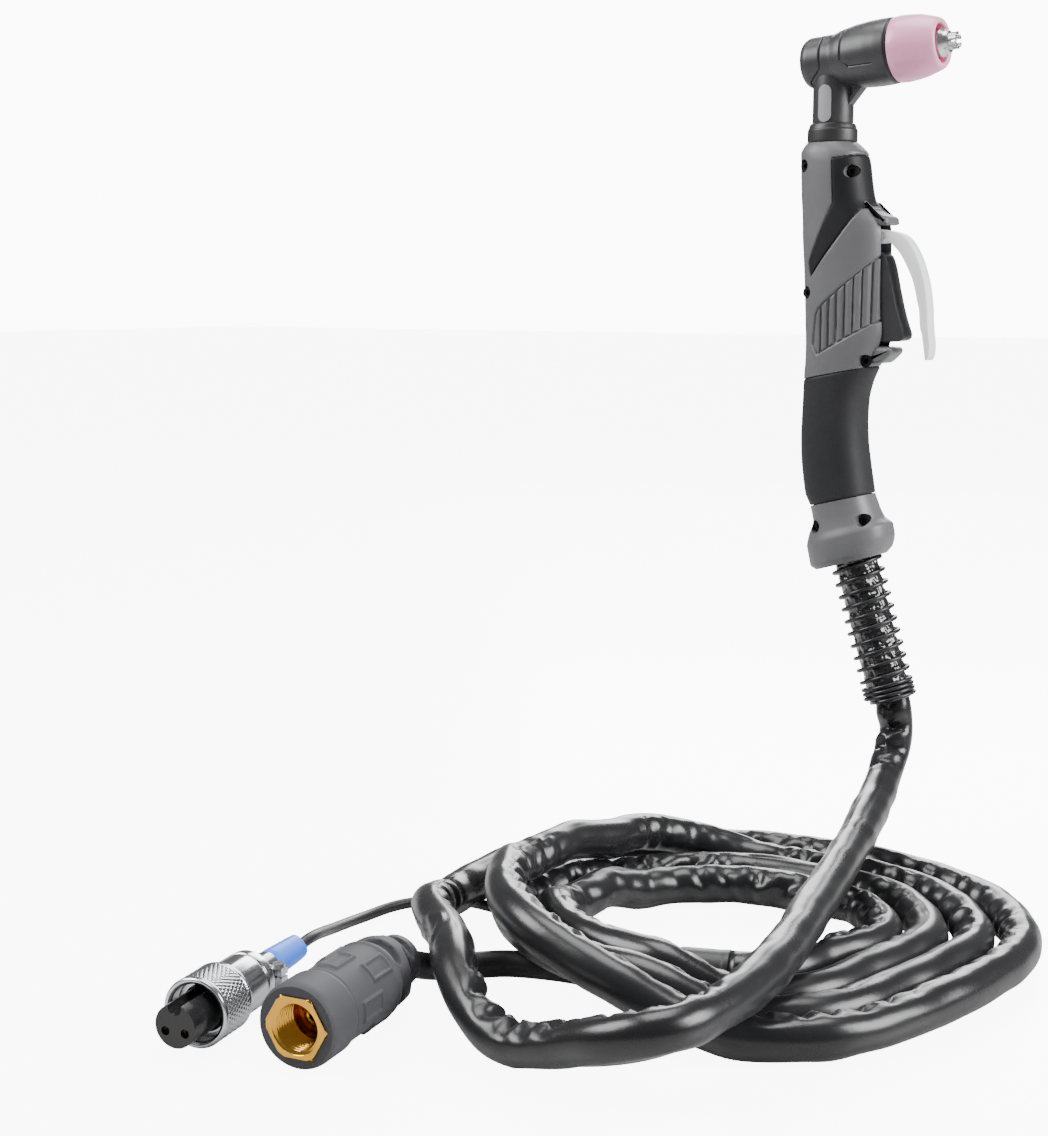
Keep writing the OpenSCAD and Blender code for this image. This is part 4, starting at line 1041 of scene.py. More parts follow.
    def tails(self) -> None:
        """The gas and power hose and the control cable that leave the sheath's end band."""
        at, way = self.coil_end()
        side = unit(np.cross(way, [0, 0, 1.0]))
        face = at + self.band_length * way
        plug_way, boot_way = level_way(PLUG_YAW), level_way(CONNECTOR_YAW)
        boot_tail = lane([CONNECTOR_AT])[0] + BOOT_LENGTH * boot_way
        plug_tail = lane([PLUG_AT])[0] + PLUG_TAIL * plug_way
        first = face - 3 * MM * side - np.array([0, 0, 2.9 * MM])
        route = np.vstack([
            first, first + 8 * MM * way, lane(list(self.hose_route)),
            boot_tail + 2.5 * MM * boot_way - [0, 0, 2 * MM], boot_tail - 8 * MM * boot_way - [0, 0, 0.2 * MM],
            boot_tail - 17 * MM * boot_way, boot_tail - 25.9 * MM * boot_way,
        ])
        path = even(spline(route, 12), 1.5 * MM)
        hose = swept_tube("gas_power_hose", path, self.hose_radius, 36)
        self.shop.place(hose, "hose_rubber", nodes=("power_hose",))
        first = face + 5.2 * MM * side - np.array([0, 0, 1 * MM])
        route = np.vstack([
            first, first + 8 * MM * way - np.array([0, 0, 1.6 * MM]), lane(list(self.cable_route)),
            plug_tail + 15 * MM * plug_way, plug_tail + 3 * MM * plug_way, plug_tail - 9 * MM * plug_way,
            plug_tail - 20.9 * MM * plug_way,
        ])
        path = even(spline(route, 12), 1.2 * MM)
        cable = swept_tube("control_lead", path, self.cable_radius, 24)
        self.shop.place(cable, "hose_rubber", nodes=("control_cable",))


# ================= strain relief =================


@dataclass
class StrainRelief:
    """Open spring over a crinkled sleeve, with closed turns at its low end."""

    shop: Shop
    wire_radius: float = 0.9 * MM
    mean_radius: float = 11.1 * MM
    pitch: float = 5.75 * MM
    closed_pitch: float = 2.15 * MM
    closed_turns: float = 3.5
    top: float = -4 * MM

    def axes(self) -> tuple:
        """The relief's axis and two directions across it."""
        return RELIEF_WAY, np.array([-math.cos(RELIEF_TILT), 0, -math.sin(RELIEF_TILT)]), np.array([0, 1.0, 0])

    def open_turns(self) -> float:
        """Number of open turns that fill the relief's length."""
        return (RELIEF_LENGTH + 4 * MM - self.closed_pitch * self.closed_turns - 2 * self.wire_radius) / self.pitch

    def build(self) -> None:
        """Builds the spring and the sleeve."""
        way, u, v = self.axes()
        turns = self.open_turns() + self.closed_turns
        k = np.arange(0, turns, 1 / 40)
        closed = np.maximum(0, k - self.open_turns()) * self.closed_pitch
        rise = np.minimum(k, self.open_turns()) * self.pitch + closed
        rise = rise + self.top + self.wire_radius
        a = 2 * math.pi * k
        round_it = np.cos(a)[:, None] * u + np.sin(a)[:, None] * v
        path = RELIEF_TOP + rise[:, None] * way + self.mean_radius * round_it
        spring = swept_tube("relief_coil", path, self.wire_radius, 14, tuple(u))
        self.shop.place(spring, "spring_steel", nodes=("relief_spring",))
        s = np.linspace(-8 * MM, RELIEF_LENGTH, 260)[:, None]
        b = circle(120)[None, :]
        arc = b * 10 * MM
        crinkle = 0.28 * MM * ripples(31, s, arc, 7 * MM) + 0.16 * MM * ripples(37, s, arc, 3.4 * MM)
        r = 9.35 * MM + 0.18 * MM * np.cos(2 * math.pi * (s - self.top) / self.pitch - b) + crinkle
        ring = np.cos(b)[..., None] * u + np.sin(b)[..., None] * v
        outer = RELIEF_TOP + s[..., None] * way + np.clip(r, 8.9 * MM, 9.95 * MM)[..., None] * ring
        inner = RELIEF_TOP + s[::-1, :, None] * way + (8.65 * MM) * ring
        points = np.vstack([outer, inner])
        sleeve = make_mesh("relief_tube", points.reshape(-1, 3), grid_faces(len(points), 120, True, True))
        tidy(sleeve)
        self.shop.place(sleeve, "sleeve_rubber", nodes=("relief_sleeve",))


# ================= inside the handle =================


@dataclass
class InnerRuns:
    """The hose and the two switch wires inside the handle."""

    shop: Shop

    def build(self) -> None:
        """Builds the hose from the tube's nut to the relief and the wires from the switch."""
        points = np.array([
            [-6.2, 0, 91], [-4, 0, 70], [-2.8, 0, 52], [-2.8, 0, 30], [-2, 0, 5], [0.4, 0, -16], [4.8, 0, -40]]) * MM
        foot = RELIEF_TOP + RELIEF_LENGTH * RELIEF_WAY
        ends = np.array([RELIEF_TOP - 6 * MM * RELIEF_WAY, foot - 12 * MM * RELIEF_WAY])
        hose = swept_tube("inner_hose_run", spline(np.vstack([points, ends]), 10), 4.4 * MM, 24, (1, 0, 0))
        self.shop.place(hose, "hose_rubber", nodes=("inner_hose",))
        points = np.array([
            [7.1, 0, 37.6], [7.4, 0, 31], [7.6, 0, 20], [7.2, 0, 4], [8.6, 0, -14], [12.2, 0, -36]]) * MM
        shift = np.array([6, 0, 1.7]) * MM
        ends = np.vstack([RELIEF_TOP - 6 * MM * RELIEF_WAY + shift, RELIEF_TOP + 14 * MM * RELIEF_WAY + shift])
        path = spline(np.vstack([points, ends]), 10)
        wires = (("switch_wire_right", -1.2 * MM, ("switch_wires",)), ("switch_wire_left", 1.2 * MM, ()))
        for name, y, nodes in wires:
            wire = swept_tube(name, path + [0, y, 0], 0.9 * MM, 12, (1, 0, 0))
            self.shop.place(wire, "wire_pvc", nodes=nodes)


# ================= head =================


@dataclass
class Head:
    """The torch head: a bell-mouthed barrel on a neck, its collar and the ceramic shield cup."""

    shop: Shop
    barrel: tuple = (
        (0, -13.2), (8.0, -13.2), (10.2, -12.0), (11.35, -9.6), (11.35, 2.3), (12.45, 5.6), (13.7, 12.6),
        (14.3, 19.5), (14.4, 25), (14.2, 29.5), (0, 29.5),
    )
    cup: tuple = (
        (10.3, 30.4), (14.05, 30.4), (14.35, 33.8), (13.95, 38.8), (13.35, 42.8), (11.85, 47.8), (11, 50.2),
        (10.2, 51.1), (9.1, 51.2), (8.3, 50.4), (8.3, 40.2), (10.3, 38.7),
    )
    neck_radius: float = 9.1
    neck_foot: float = 125.2
    groove_depth: float = 0.55
    groove_width: float = 0.3

    def build(self) -> None:
        """Builds the barrel, neck, gusset, collar and cup."""
        p = dense(list(self.barrel), 0.3, 0.8)
        a = np.linspace(0, 360, 300, endpoint=False)
        turn = np.minimum(a, 360 - a)[None, :]
        place, radius = p[:, 1:2], p[:, :1]
        cut_in = radius - self.grooves(place, radius, turn)
        barrel = lathe("head_barrel", place, cut_in, HEAD_AT, HEAD_WAY, tuple(HEAD_UP))
        self.shop.place(crisp(barrel, 50), "head_plastic", nodes=("torch_head",))
        neck = turned("head_neck", [
            (0, self.neck_foot), (self.neck_radius, self.neck_foot), (self.neck_radius, 157), (0, 157)],
            np.array([-6.2, 0, 0]) * MM, [0, 0, 1.0], 96, 0.3)
        self.shop.place(crisp(neck), "head_plastic")
        self.gusset()
        collar = turned("neck_collar_ring", [
            (9.15, 124.35), (10.85, 124.35), (11.15, 124.8), (11.15, 129.6), (10.7, 130.3), (10.1, 132.3),
            (9.15, 132.7)],
            np.array([-6.2, 0, 0]) * MM, [0, 0, 1.0], 120, 0.35)
        self.shop.place(crisp(collar), "seal_rubber", nodes=("neck_collar",))
        cup = turned("ceramic_cup", list(self.cup), HEAD_AT, HEAD_WAY, 180, 0.9)
        self.shop.place(crisp(cup, 60), "cup_ceramic", nodes=("shield_cup",))

    def grooves(self, place: np.ndarray, radius: np.ndarray, turn: np.ndarray) -> np.ndarray:
        """Depth of the joint lines between the mouldings: two rings that kink at the barrel's side and run
        back towards the neck, and one line that runs forward from the second.

        Args:
            place: places along the axis.
            radius: the barrel's radius there.
            turn: degrees from the top.

        Returns:
            Depths in millimetres.
        """
        first = -2.2 - 6.5 * ease(104, 150, turn)
        second = 8.4 + 3.6 * ease(98, 114, turn) + 40 * (turn > 114)
        gap = np.minimum(np.abs(place - first), np.abs(place - second))
        forward = np.abs(turn - 114) * math.pi / 180 * radius + 9.0 * ((place < 12) | (place > 24))
        gap = np.minimum(gap, forward)
        return self.groove_depth * np.exp(-((gap / self.groove_width) ** 2)) * (radius > 10.5)

    def gusset(self) -> None:
        """The web between neck and bell, with a three-cornered recess on each side."""
        x, z = 2.9, 160.1
        outline = [(x - 3, z - 8), (x + 6.2, z - 10), (x + 6.2, z - 12), (x - 1, z - 20.5), (x - 3, z - 20.5)]
        web = plate("head_gusset", dense(outline, 0.5, 0.5), -3, 3, 0.4)
        recess = [(x, z - 12.2), (x + 3.8, z - 12.6), (x, z - 16.8)]
        cut(web, [plate("recess", recess, low, low + 2) for low in (-4, 2)])
        self.shop.place(crisp(web), "head_plastic")


# ================= handle =================


@dataclass
class Handle:
    """The two-part moulded handle with its wedge inlays, grooved fields, rubber grip and screw holes."""

    shop: Shop
    power: float = 2.4
    stations: tuple = (
        (124.2, 0, -5.9, 10.8, 11.1, 10.8), (122.2, -0.8, -5.4, 12.8, 12.8, 12.2),
        (119.2, -1.6, -4.6, 14.7, 15, 13.3),
        (115.4, -2.2, -3.8, 14.9, 15.6, 13.8), (106.7, -1.8, -2.9, 15.3, 16.2, 14), (99, -1.5, -2, 16.1, 16.8, 14),
        (94.1, -1.4, -0.8, 18.7, 17.6, 14), (89.3, -1.2, -0.1, 21.4, 18.1, 14), (83.5, 0, 0.2, 22, 18.2, 14),
        (73.8, 1.4, 0.5, 21.9, 17.7, 14), (60.1, 3.5, 0.9, 21.8, 17.2, 14), (47.3, 5.5, 1.2, 22, 16.9, 14),
        (37.4, 7.9, 1.5, 22.6, 16.8, 14), (30.5, 9.7, 1.3, 21.5, 16.7, 14), (25.5, 10.9, 0.8, 20, 16.6, 14),
        (21.8, 11, 0.35, 18.45, 16.25, 14), (14.6, 11.3, -0.2, 15.5, 15.9, 14), (7.5, 11.6, -0.8, 14.4, 15.5, 14),
        (-1.5, 11.9, -1, 14.2, 15.6, 14), (-11.6, 12.3, -0.5, 14.3, 15.9, 14), (-21.7, 13.2, 0.8, 14.5, 16.2, 14),
        (-29.9, 13.8, 2.2, 14.5, 16.3, 14), (-36.5, 14.25, 3.55, 14.3, 14.8, 14), (-43.2, 16, 5.3, 14.8, 15, 14.4),
        (-49.3, 17.2, 6.4, 16.5, 18.3, 15.4), (-54.5, 18.4, 7.4, 20, 20.2, 16.8), (-58.6, 18.2, 8.1, 20.1, 19.9, 17),
        (-63.6, 17.6, 8.9, 18.5, 19.6, 16.6), (-66.4, 17, 9.4, 15, 17.2, 14.8),
    )
    wedge: tuple = (
        (-0.3, 116.9), (25.3, 121), (26, 99.4), (13.3, 94.2), (-9.9, 64.5), (-11.5, 71), (0.9, 97.3),
    )
    rib_field: tuple = ((-7.8, 35), (-5, 30.7), (23.9, 46.6), (23, 74.8), (-4.6, 51.3), (-6.2, 48.3))
    rib_first: float = -3.6
    rib_pitch: float = 3.8
    hook: tuple = (
        (12.7, 99.1), (17.3, 93.9), (21, 91.8), (23.2, 91.4), (24.4, 90.1), (24.6, 87.45), (13, 87.45),
    )
    chin: tuple = ((18.5, 34.2), (26.5, 34.2), (27.9, 33.3), (28, 31.3), (23, 26.7), (13, 26.5))
    screws: tuple = ((-14.9, 114), (7.9, 110.9), (-12.5, 58), (16.8, 27.8), (18.1, -43.3), (-4.4, -47.7))
    grip_top: float = 21.6
    grip_foot: float = -36.3
    inlay_depth: float = 1.0
    grip_depth: float = 1.5
    slot: tuple = (10.9, 45.0, 34.2, 87.4)
    slot_half: float = 5.7
    horn_half: float = 7.4
    hole_radius: float = 2.9
    bore_radius: float = 12.75

    def skin(self, z0: np.ndarray, a: np.ndarray, off: np.ndarray = 0.0) -> np.ndarray:
        """Points of the right skin: at height z0 a section tilted about Y whose half width and depth follow a
        superellipse of the given power, off millimetres inside the surface.

        Args:
            z0: heights of the sections.
            a: angles, 0 at the front seam and pi at the back seam.
            off: depth under the surface.

        Returns:
            Points in millimetres.
        """
        table = np.array(self.stations, float)[::-1]
        z0, a, off = np.broadcast_arrays(z0, a, off)
        tilt, middle, front, back, side = (monotone(table[:, 0], table[:, k], z0) for k in range(1, 6))
        t = np.radians(tilt)
        c, s = np.cos(a), np.clip(np.sin(a), 0, 1)
        d = np.sign(c) * (np.where(c >= 0, front, back) - off) * np.abs(c) ** (2 / self.power)
        w = (side - off) * s ** (2 / self.power)
        return np.stack([middle + d * np.cos(t), -w, z0 + middle * np.tan(t) + d * np.sin(t)], -1)

    def relief(self, x: np.ndarray, z: np.ndarray) -> np.ndarray:
        """Depth of the shell's surface details: the wedge's seat with a fine line round it, the line round the
        grooved field, and the grooves in it.

        Args:
            x: places along X, in millimetres.
            z: heights, in millimetres.

        Returns:
            Depths under the plain skin, in millimetres.
        """
        seat = edge_distance(x, z, list(self.wedge))
        depth = self.inlay_depth * ease(0.15, -0.15, seat) + 0.12 * np.exp(-((seat / 0.5) ** 2))
        field_edge = edge_distance(x, z, list(self.rib_field))
        groove = 0.95 * np.exp(-((field_edge / 0.38) ** 2))
        across = (x - self.rib_first + self.rib_pitch / 2) % self.rib_pitch - self.rib_pitch / 2
        lines = np.exp(-((across / 0.36) ** 4)) * ease(0.1, -0.3, field_edge)
        crown = 0.4 * (1 - (np.abs(across) / (self.rib_pitch / 2)) ** 2) * ease(0.1, -0.3, field_edge)
        return depth + np.maximum(groove, 1.0 * lines + crown)

    def hole(self, x: float, z: float) -> bpy.types.Object:
        """A cutter for a screw's hole, from the right."""
        return rod("hole", np.array([x, -25, z]) * MM, np.array([x, -6, z]) * MM, self.hole_radius * MM)

    def shell(self, name: str, step: float, columns: int, drilled: bool) -> bpy.types.Object:
        """The right half of the shell, filled, with its slot and the relief's bore cut out.

        Args:
            name: the piece's name.
            step: distance between rows, in millimetres.
            columns: steps from the front seam to the back seam.
            drilled: whether it has screw holes.

        Returns:
            The object.
        """
        top, foot = self.stations[0][0], self.stations[-1][0]
        edges = [e + k for e in (self.grip_top + 0.2, self.grip_foot - 0.2) for k in (0.15, 0.05, -0.05, -0.15)]
        z0 = np.unique(np.concatenate([np.arange(top, foot, -step), [foot], edges]))[::-1][:, None]
        a = np.linspace(0, math.pi, columns + 1)[None, :]
        seated = ease(self.grip_top + 0.35, self.grip_top + 0.05, z0)
        seated = seated * ease(self.grip_foot - 0.35, self.grip_foot - 0.05, z0)
        outer = self.skin(z0, a, self.grip_depth * seated)
        rows, ring = np.gradient(outer, axis=0), np.gradient(outer, axis=1)
        normal = unit(np.cross(rows, ring))
        normal = normal * np.sign((normal * (outer - outer.mean(1, keepdims=True))).sum(-1, keepdims=True))
        seam = 0.18 * np.exp(-((outer[..., 1] / 0.3) ** 2))
        depth = self.relief(outer[..., 0], outer[..., 2]) + seam
        outer = outer - depth[..., None] * normal
        outer[..., 1] = np.minimum(outer[..., 1], 0)
        outer[:, [0, -1], 1] = 0
        share = np.linspace(0, 1, 6)[1:-1][None, :, None]
        flat = outer[:, -1:] + (outer[:, :1] - outer[:, -1:]) * share
        points = np.concatenate([outer, flat], 1)
        n, m = points.shape[:2]
        lids = (range(m), range((n - 1) * m, n * m))
        half = make_mesh(name, points.reshape(-1, 3) * MM, grid_faces(n, m, True), lids=lids)
        tidy(half)
        x0, x1, low, high = self.slot
        cutters = [plate("slot", [(x0, low), (x1, low), (x1, high), (x0, high)], -self.slot_half, 1)]
        ends = (RELIEF_TOP - 10 * MM * RELIEF_WAY, RELIEF_TOP + 20 * MM * RELIEF_WAY)
        cutters.append(rod("bore", *ends, self.bore_radius * MM, 96))
        if drilled:
            cutters += [self.hole(x, z) for x, z in self.screws]
        cut(half, cutters)
        return crisp(half, 55)

    def inlay(self, name: str, gap: float) -> bpy.types.Object:
        """The dark wedge let into the upper shell: a patch of the skin between the wedge's left and right
        sides, found at each height by a few steps that follow the section's tilt.

        Args:
            name: the piece's name.
            gap: how far it stays inside the wedge.

        Returns:
            The object.
        """
        p = inset(list(self.wedge), gap)
        left, right = p[[4, 5, 6, 0, 1]], p[[4, 3, 2, 1]]
        table = np.array(self.stations, float)[::-1]
        z0 = np.linspace(p[4, 1] + 0.6, 119.6, 180)[:, None]
        tilt, middle, front, back = (monotone(table[:, 0], table[:, k], z0) for k in (1, 2, 3, 4))
        t = np.radians(tilt)
        angles = []
        for chain in (left, right):
            x = np.interp(z0, chain[:, 1], chain[:, 0])
            for _ in range(5):
                x = np.interp(z0 + x * np.tan(t), chain[:, 1], chain[:, 0])
            d = (x - middle) / np.cos(t)
            share = np.clip(d / np.where(d >= 0, front, back), -1, 1)
            angles.append(np.arccos(np.sign(share) * np.abs(share) ** (self.power / 2)))
        v = np.linspace(0, 1, 90)[None, :]
        a = angles[0] + (angles[1] - angles[0]) * v
        flat = self.skin(z0, a)
        rim = edge_distance(flat[..., 0], flat[..., 2], p.tolist())
        off = 0.04 + 0.3 * np.exp(-((rim / 0.3) ** 2))
        return crisp(thick_sheet(name, self.skin(z0, a, off), self.skin(z0, a, self.inlay_depth - 0.04)), 60)

    def grip(self, name: str) -> bpy.types.Object:
        """The soft grip's right half, flush with the shell and rounded at its two ends."""
        z0 = np.linspace(self.grip_top, self.grip_foot, 150)[:, None]
        a = np.linspace(0, math.pi, 90)[None, :]
        ends = np.minimum(self.grip_top - z0, z0 - self.grip_foot)
        off = 0.4 * np.exp(-((ends / 0.4) ** 2)) - 0.05
        return crisp(thick_sheet(name, self.skin(z0, a, off), self.skin(z0, a, self.grip_depth - 0.1)), 60)

    def mirrored(self, piece: bpy.types.Object) -> bpy.types.Object:
        """Turns a right half into a left one: y changes sign and the faces are turned outwards again."""
        points = np.empty(len(piece.data.vertices) * 3)
        piece.data.vertices.foreach_get("co", points)
        points = points.reshape(-1, 3) * [1, -1, 1]
        piece.data.vertices.foreach_set("co", points.ravel())
        tidy(piece)
        return piece

    def build(self) -> None:
        """Builds both halves, the inlays, the grips and the hinge's two horns."""
        self.shop.place(self.shell("shell_right", 0.4, 150, True), "handle_plastic", nodes=("handle_right",))
        left = self.mirrored(self.shell("shell_left", 0.6, 110, False))
        self.shop.place(left, "handle_plastic", nodes=("handle_left",))
        right = self.inlay("wedge_right", 0.42)
        cut(right, [self.hole(*self.screws[1])])
        self.shop.place(crisp(right, 60), "inlay_plastic", nodes=("upper_inlay_right",))
        left = self.mirrored(self.inlay("wedge_left", 0.42))
        self.shop.place(left, "inlay_plastic", nodes=("upper_inlay_left",))
        self.shop.place(self.grip("grip_cover_right"), "grip_rubber", nodes=("grip_right",))
        self.shop.place(self.mirrored(self.grip("grip_cover_left")), "grip_rubber", nodes=("grip_left",))
        for name, outline in (("hinge_horn", self.hook), ("slot_chin", self.chin)):
            horn = plate(name, dense(list(outline), 0.4, 1.6), -self.horn_half, self.horn_half, 2.0)
            self.shop.place(crisp(horn, 50), "handle_plastic")


# ================= trigger and lever =================


@dataclass
class Trigger:
    """The dark trigger, and the milky safety lever that swings over it on its pin."""

    shop: Shop
    shape: tuple = (
        (14.2, 70.6), (14.8, 74.3), (17.6, 75.7), (21.1, 75.6), (23, 73.8), (24.8, 69.2), (26.8, 60), (28.7, 52.3),
        (30.7, 45.5), (32.8, 40.1), (32.7, 38), (31.2, 36.8), (24.2, 36.1), (18.8, 36.5), (17, 40.5), (16.1, 55.1),
        (14.6, 65.8),
    )
    edge: tuple = ((23.9, 71.5), (26.7, 60.9), (30.5, 46.9), (33, 38.8), (37.4, 38.8), (36.3, 71.4))
    pocket: tuple = ((13.4, 44.4), (22, 44.5), (22.6, 58), (20.1, 64.8), (12.8, 64.8))
    lever_outer: tuple = (
        (19.4, 85.5), (23.6, 85), (29, 83.7), (32.6, 81), (35.5, 77.1), (38.3, 71.6), (40.2, 66.2), (41.7, 60.5),
        (43, 52.3), (43.6, 43.7), (44.6, 35.5), (44.4, 30.7), (43.3, 28.5),
    )
    lever_inner: tuple = (
        (42.4, 28.7), (41.9, 32.2), (40.7, 39.3), (39.7, 42.9), (39, 50.2), (38.2, 53.3), (36.2, 61.5), (33.6, 67.6),
        (29.8, 74.3), (25.7, 78.8), (22.2, 81.3), (21.3, 80.1),
    )
    lever_pivot: tuple = (19.5, 82.5)
    lever_half: float = 4.0
    lever_wall: float = 2.0
    knuckle_radius: float = 3.1
    pin_radius: float = 1.3
    pin_half: float = 6.2

    def build(self) -> None:
        """Builds the trigger, the lever, its knuckle and its pin."""
        body = plate("trigger_blade", dense(list(self.shape), 0.4, 0.9), -5.2, 5.2, 0.7)
        cutters = [plate("edge", list(self.edge), low, high) for low, high in ((-7.2, -4.4), (4.4, 7.2))]
        cutters += [plate("pocket", list(self.pocket), low, high) for low, high in ((-3.2, -1.4), (1.4, 3.2))]
        cut(body, cutters)
        self.shop.place(crisp(body), "trigger_plastic", body="trigger", nodes=("trigger",))
        self.shop.place(crisp(self.lever()), "lever_plastic", body="lever", nodes=("lever",))
        pivot = np.array([self.lever_pivot[0], 0, self.lever_pivot[1]]) * MM
        r = self.knuckle_radius
        knuckle = turned("lever_knuckle", [(1.35, -4), (r, -4), (r, 4), (1.35, 4)], pivot, [0, 1.0, 0], 48, 0.3)
        self.shop.place(crisp(knuckle), "lever_plastic", body="lever")
        r, end = self.pin_radius, self.pin_half
        pin = turned("lever_pin_rod", [(0, -end), (r, -end), (r, end), (0, end)], pivot, [0, 1.0, 0], 32, 0.2)
        self.shop.place(crisp(pin), "steel", nodes=("lever_pin",))

    def lever(self) -> bpy.types.Object:
        """The lever: a channel section carried between its outer and inner curves. In the section, depth runs
        from the outer face to the lips and y across. The hollow opens smoothly between the two ends, save at
        two low steps near the foot.

        Returns:
            The object.
        """
        count = 120
        chains = [even(spline(np.array(p), 8), 0.1) for p in (self.lever_outer, self.lever_inner[::-1])]
        outer, inner = (c[np.linspace(0, len(c) - 1, count).astype(int)] for c in chains)
        u = np.linspace(0, 1, count)
        thick = np.linalg.norm(inner - outer, axis=1)
        way = (inner - outer) / thick[:, None]
        hollow = np.maximum(0, thick - self.lever_wall) * bump(u, 0.1, 0.2, 0.72, 0.8)
        hollow = hollow - 0.6 * (bump(u, 0.53, 0.54, 0.55, 0.56) + bump(u, 0.7, 0.71, 0.72, 0.73))
        w = self.lever_half
        half = (
            (0, 0, w - 0.9), (0.25, 0, w - 0.25), (0.9, 0, w), (-0.5, 1, w), (-0.15, 1, w - 0.15),
            (0, 1, w - 0.5), (0, 1, w - 1.5), (0, 2, w - 1.6),
        )
        ring = [*half, *((c, kind, -y) for c, kind, y in half[::-1])]
        depth = np.stack([c + (kind > 0) * thick - (kind > 1) * hollow for c, kind, _ in ring], 1)
        y = np.broadcast_to(np.array([row[2] for row in ring]), depth.shape)
        flat = outer[:, None] + depth[..., None] * way[:, None]
        points = np.stack([flat[..., 0], y, flat[..., 1]], -1) * MM
        m = len(ring)
        lids = (range(m), range((count - 1) * m, count * m))
        strip = make_mesh("lever_strip", points.reshape(-1, 3), grid_faces(count, m, True), lids=lids)
        tidy(strip)
        return strip


# ================= gas and power connector =================


@dataclass
class Connector:
    """Rubber boot with raised grip frames and a slotted tail, over a hexagonal nut with a real thread."""

    shop: Shop
    profile: tuple = (
        (13.8, 0.6), (14.7, 1.4), (15, 3), (15, 15), (14.3, 16.5), (14.1, 18), (14.1, 48), (12.6, 50), (12.6, 52),
        (13.6, 54), (13.2, 59), (11, 60.5), (10.8, 62.5), (10.4, 64), (9.5, 70),
    )
    flats: float = 21.0
    thread_pitch: float = 1.5
    thread_length: float = 12.0

    def hexagon(self, turn: np.ndarray, flats: float) -> np.ndarray:
        """Distance from a hexagon's middle to its side, with a flat on top: half the flats over the cosine of
        the angle to the nearest flat's middle.

        Args:
            turn: angles from the top.
            flats: the width across the flats.

        Returns:
            The distances, in the unit of flats.
        """
        return flats / 2 / np.cos((turn + math.pi / 6) % (math.pi / 3) - math.pi / 6)

    def build(self) -> None:
        """Builds the boot and the nut."""
        origin, way = lane([CONNECTOR_AT])[0], level_way(CONNECTOR_YAW)
        a = circle(240)[None, :]
        p = np.array(self.profile)
        s = np.concatenate([np.arange(0.6, 70, 0.3), [70.0]])
        radius = np.interp(s, p[:, 1], p[:, 0])
        smooth = np.convolve(np.pad(radius, 2, mode="edge"), np.ones(5) / 5, "valid")
        outer = smooth[:, None] + self.details(s[:, None], a, smooth[:, None])
        inner_s = np.array([70, 69.8, 60, 58, 57.9, 22.1, 22, 0.6])[:, None]
        round_r = np.array([6.9, 6.8, 5.3, 5.3, 7.6, 7.6, 7.6, 7.6])[:, None]
        hexed = np.array([0, 0, 0, 0, 0, 0, 1, 1])[:, None]
        inner = round_r + hexed * (self.hexagon(a, self.flats + 0.2) - round_r)
        places = np.vstack([s[:, None], inner_s])
        radii = np.vstack([outer, np.broadcast_to(inner, (len(inner_s), outer.shape[1]))])
        boot = lathe("boot_cover", places, radii, origin, way)
        self.shop.place(crisp(boot, 50), "boot_rubber", body="connector", nodes=("connector_boot",))
        self.nut(origin, way, a)

    def details(self, s: np.ndarray, a: np.ndarray, radius: np.ndarray) -> np.ndarray:
        """Height of the boot's relief: eight frames of raised edge, a ring behind them, a groove in front of
        them, and oval hollows in the tail, three to a row and turned by half a step from row to row.

        Args:
            s: places along the boot.
            a: angles round it.
            radius: the plain radius.

        Returns:
            Heights in millimetres.
        """
        total = np.zeros(np.broadcast(s, a).shape)
        for k in range(8):
            arc = ((a - math.radians(45 * k) + math.pi) % (2 * math.pi) - math.pi) * radius
            along = s - (27.5 + 10 * (k % 2))
            box = np.maximum(np.abs(arc) - 3.9, np.abs(along) - 6.6)
            total = np.maximum(total, 0.85 * np.exp(-((np.abs(box + 0.8) / 0.7) ** 4)))
            total = np.maximum(total, 0.18 * ease(0.2, -0.4, box))
        total = total + 0.5 * np.exp(-(((s - 46.2) / 1.0) ** 4)) - 0.5 * np.exp(-(((s - 17) / 0.5) ** 2))
        for row, middle in enumerate((51.5, 58.2, 64.6)):
            for k in range(3):
                centre = math.radians(120 * k + 60 * (row % 2) + 20)
                arc = ((a - centre + math.pi) % (2 * math.pi) - math.pi) * radius
                oval = np.hypot(arc / 8.5, (s - middle) / 2.0)
                total = total - 2.0 * ease(1.15, 0.8, oval)
        return total

    def nut(self, origin: np.ndarray, way: np.ndarray, a: np.ndarray) -> None:
        """The brass nut: a chamfered hexagon outside, and inside a thread whose crest climbs one pitch a turn.

        Args:
            origin: the front face's middle.
            way: direction into the boot.
            a: angles of the columns.
        """
        s = np.array([0, 0.3, 0.6, 0.9, 1.2, 21.8, 22.0])[:, None]
        chamfer = np.array([11.3, 11.6, 12.0, 12.4, 13, 13, 12])[:, None]
        outer = np.minimum(self.hexagon(a, self.flats), chamfer)
        t = np.arange(self.thread_length, -1e-9, -0.12)[:, None]
        wave = 0.5 + 0.5 * np.cos(2 * math.pi * (t / self.thread_pitch) - a)
        thread = 8.45 - 0.75 * wave**1.3 + 0.9 * ease(1.0, 0.0, t)
        back_s = np.array([22.0, 17.0, 16.9, 12.2])[:, None]
        back_r = np.array([6.5, 6.5, 8.6, 8.6])[:, None]
        columns = a.shape[1]
        rows_s = np.vstack([s, back_s, t])
        rows_r = np.vstack([outer, np.broadcast_to(back_r, (4, columns)), thread])
        nut = lathe("threaded_nut", rows_s, rows_r, origin, way)
        self.shop.place(crisp(nut, 40), "brass", body="connector", nodes=("connector_nut",))


# ================= control plug =================


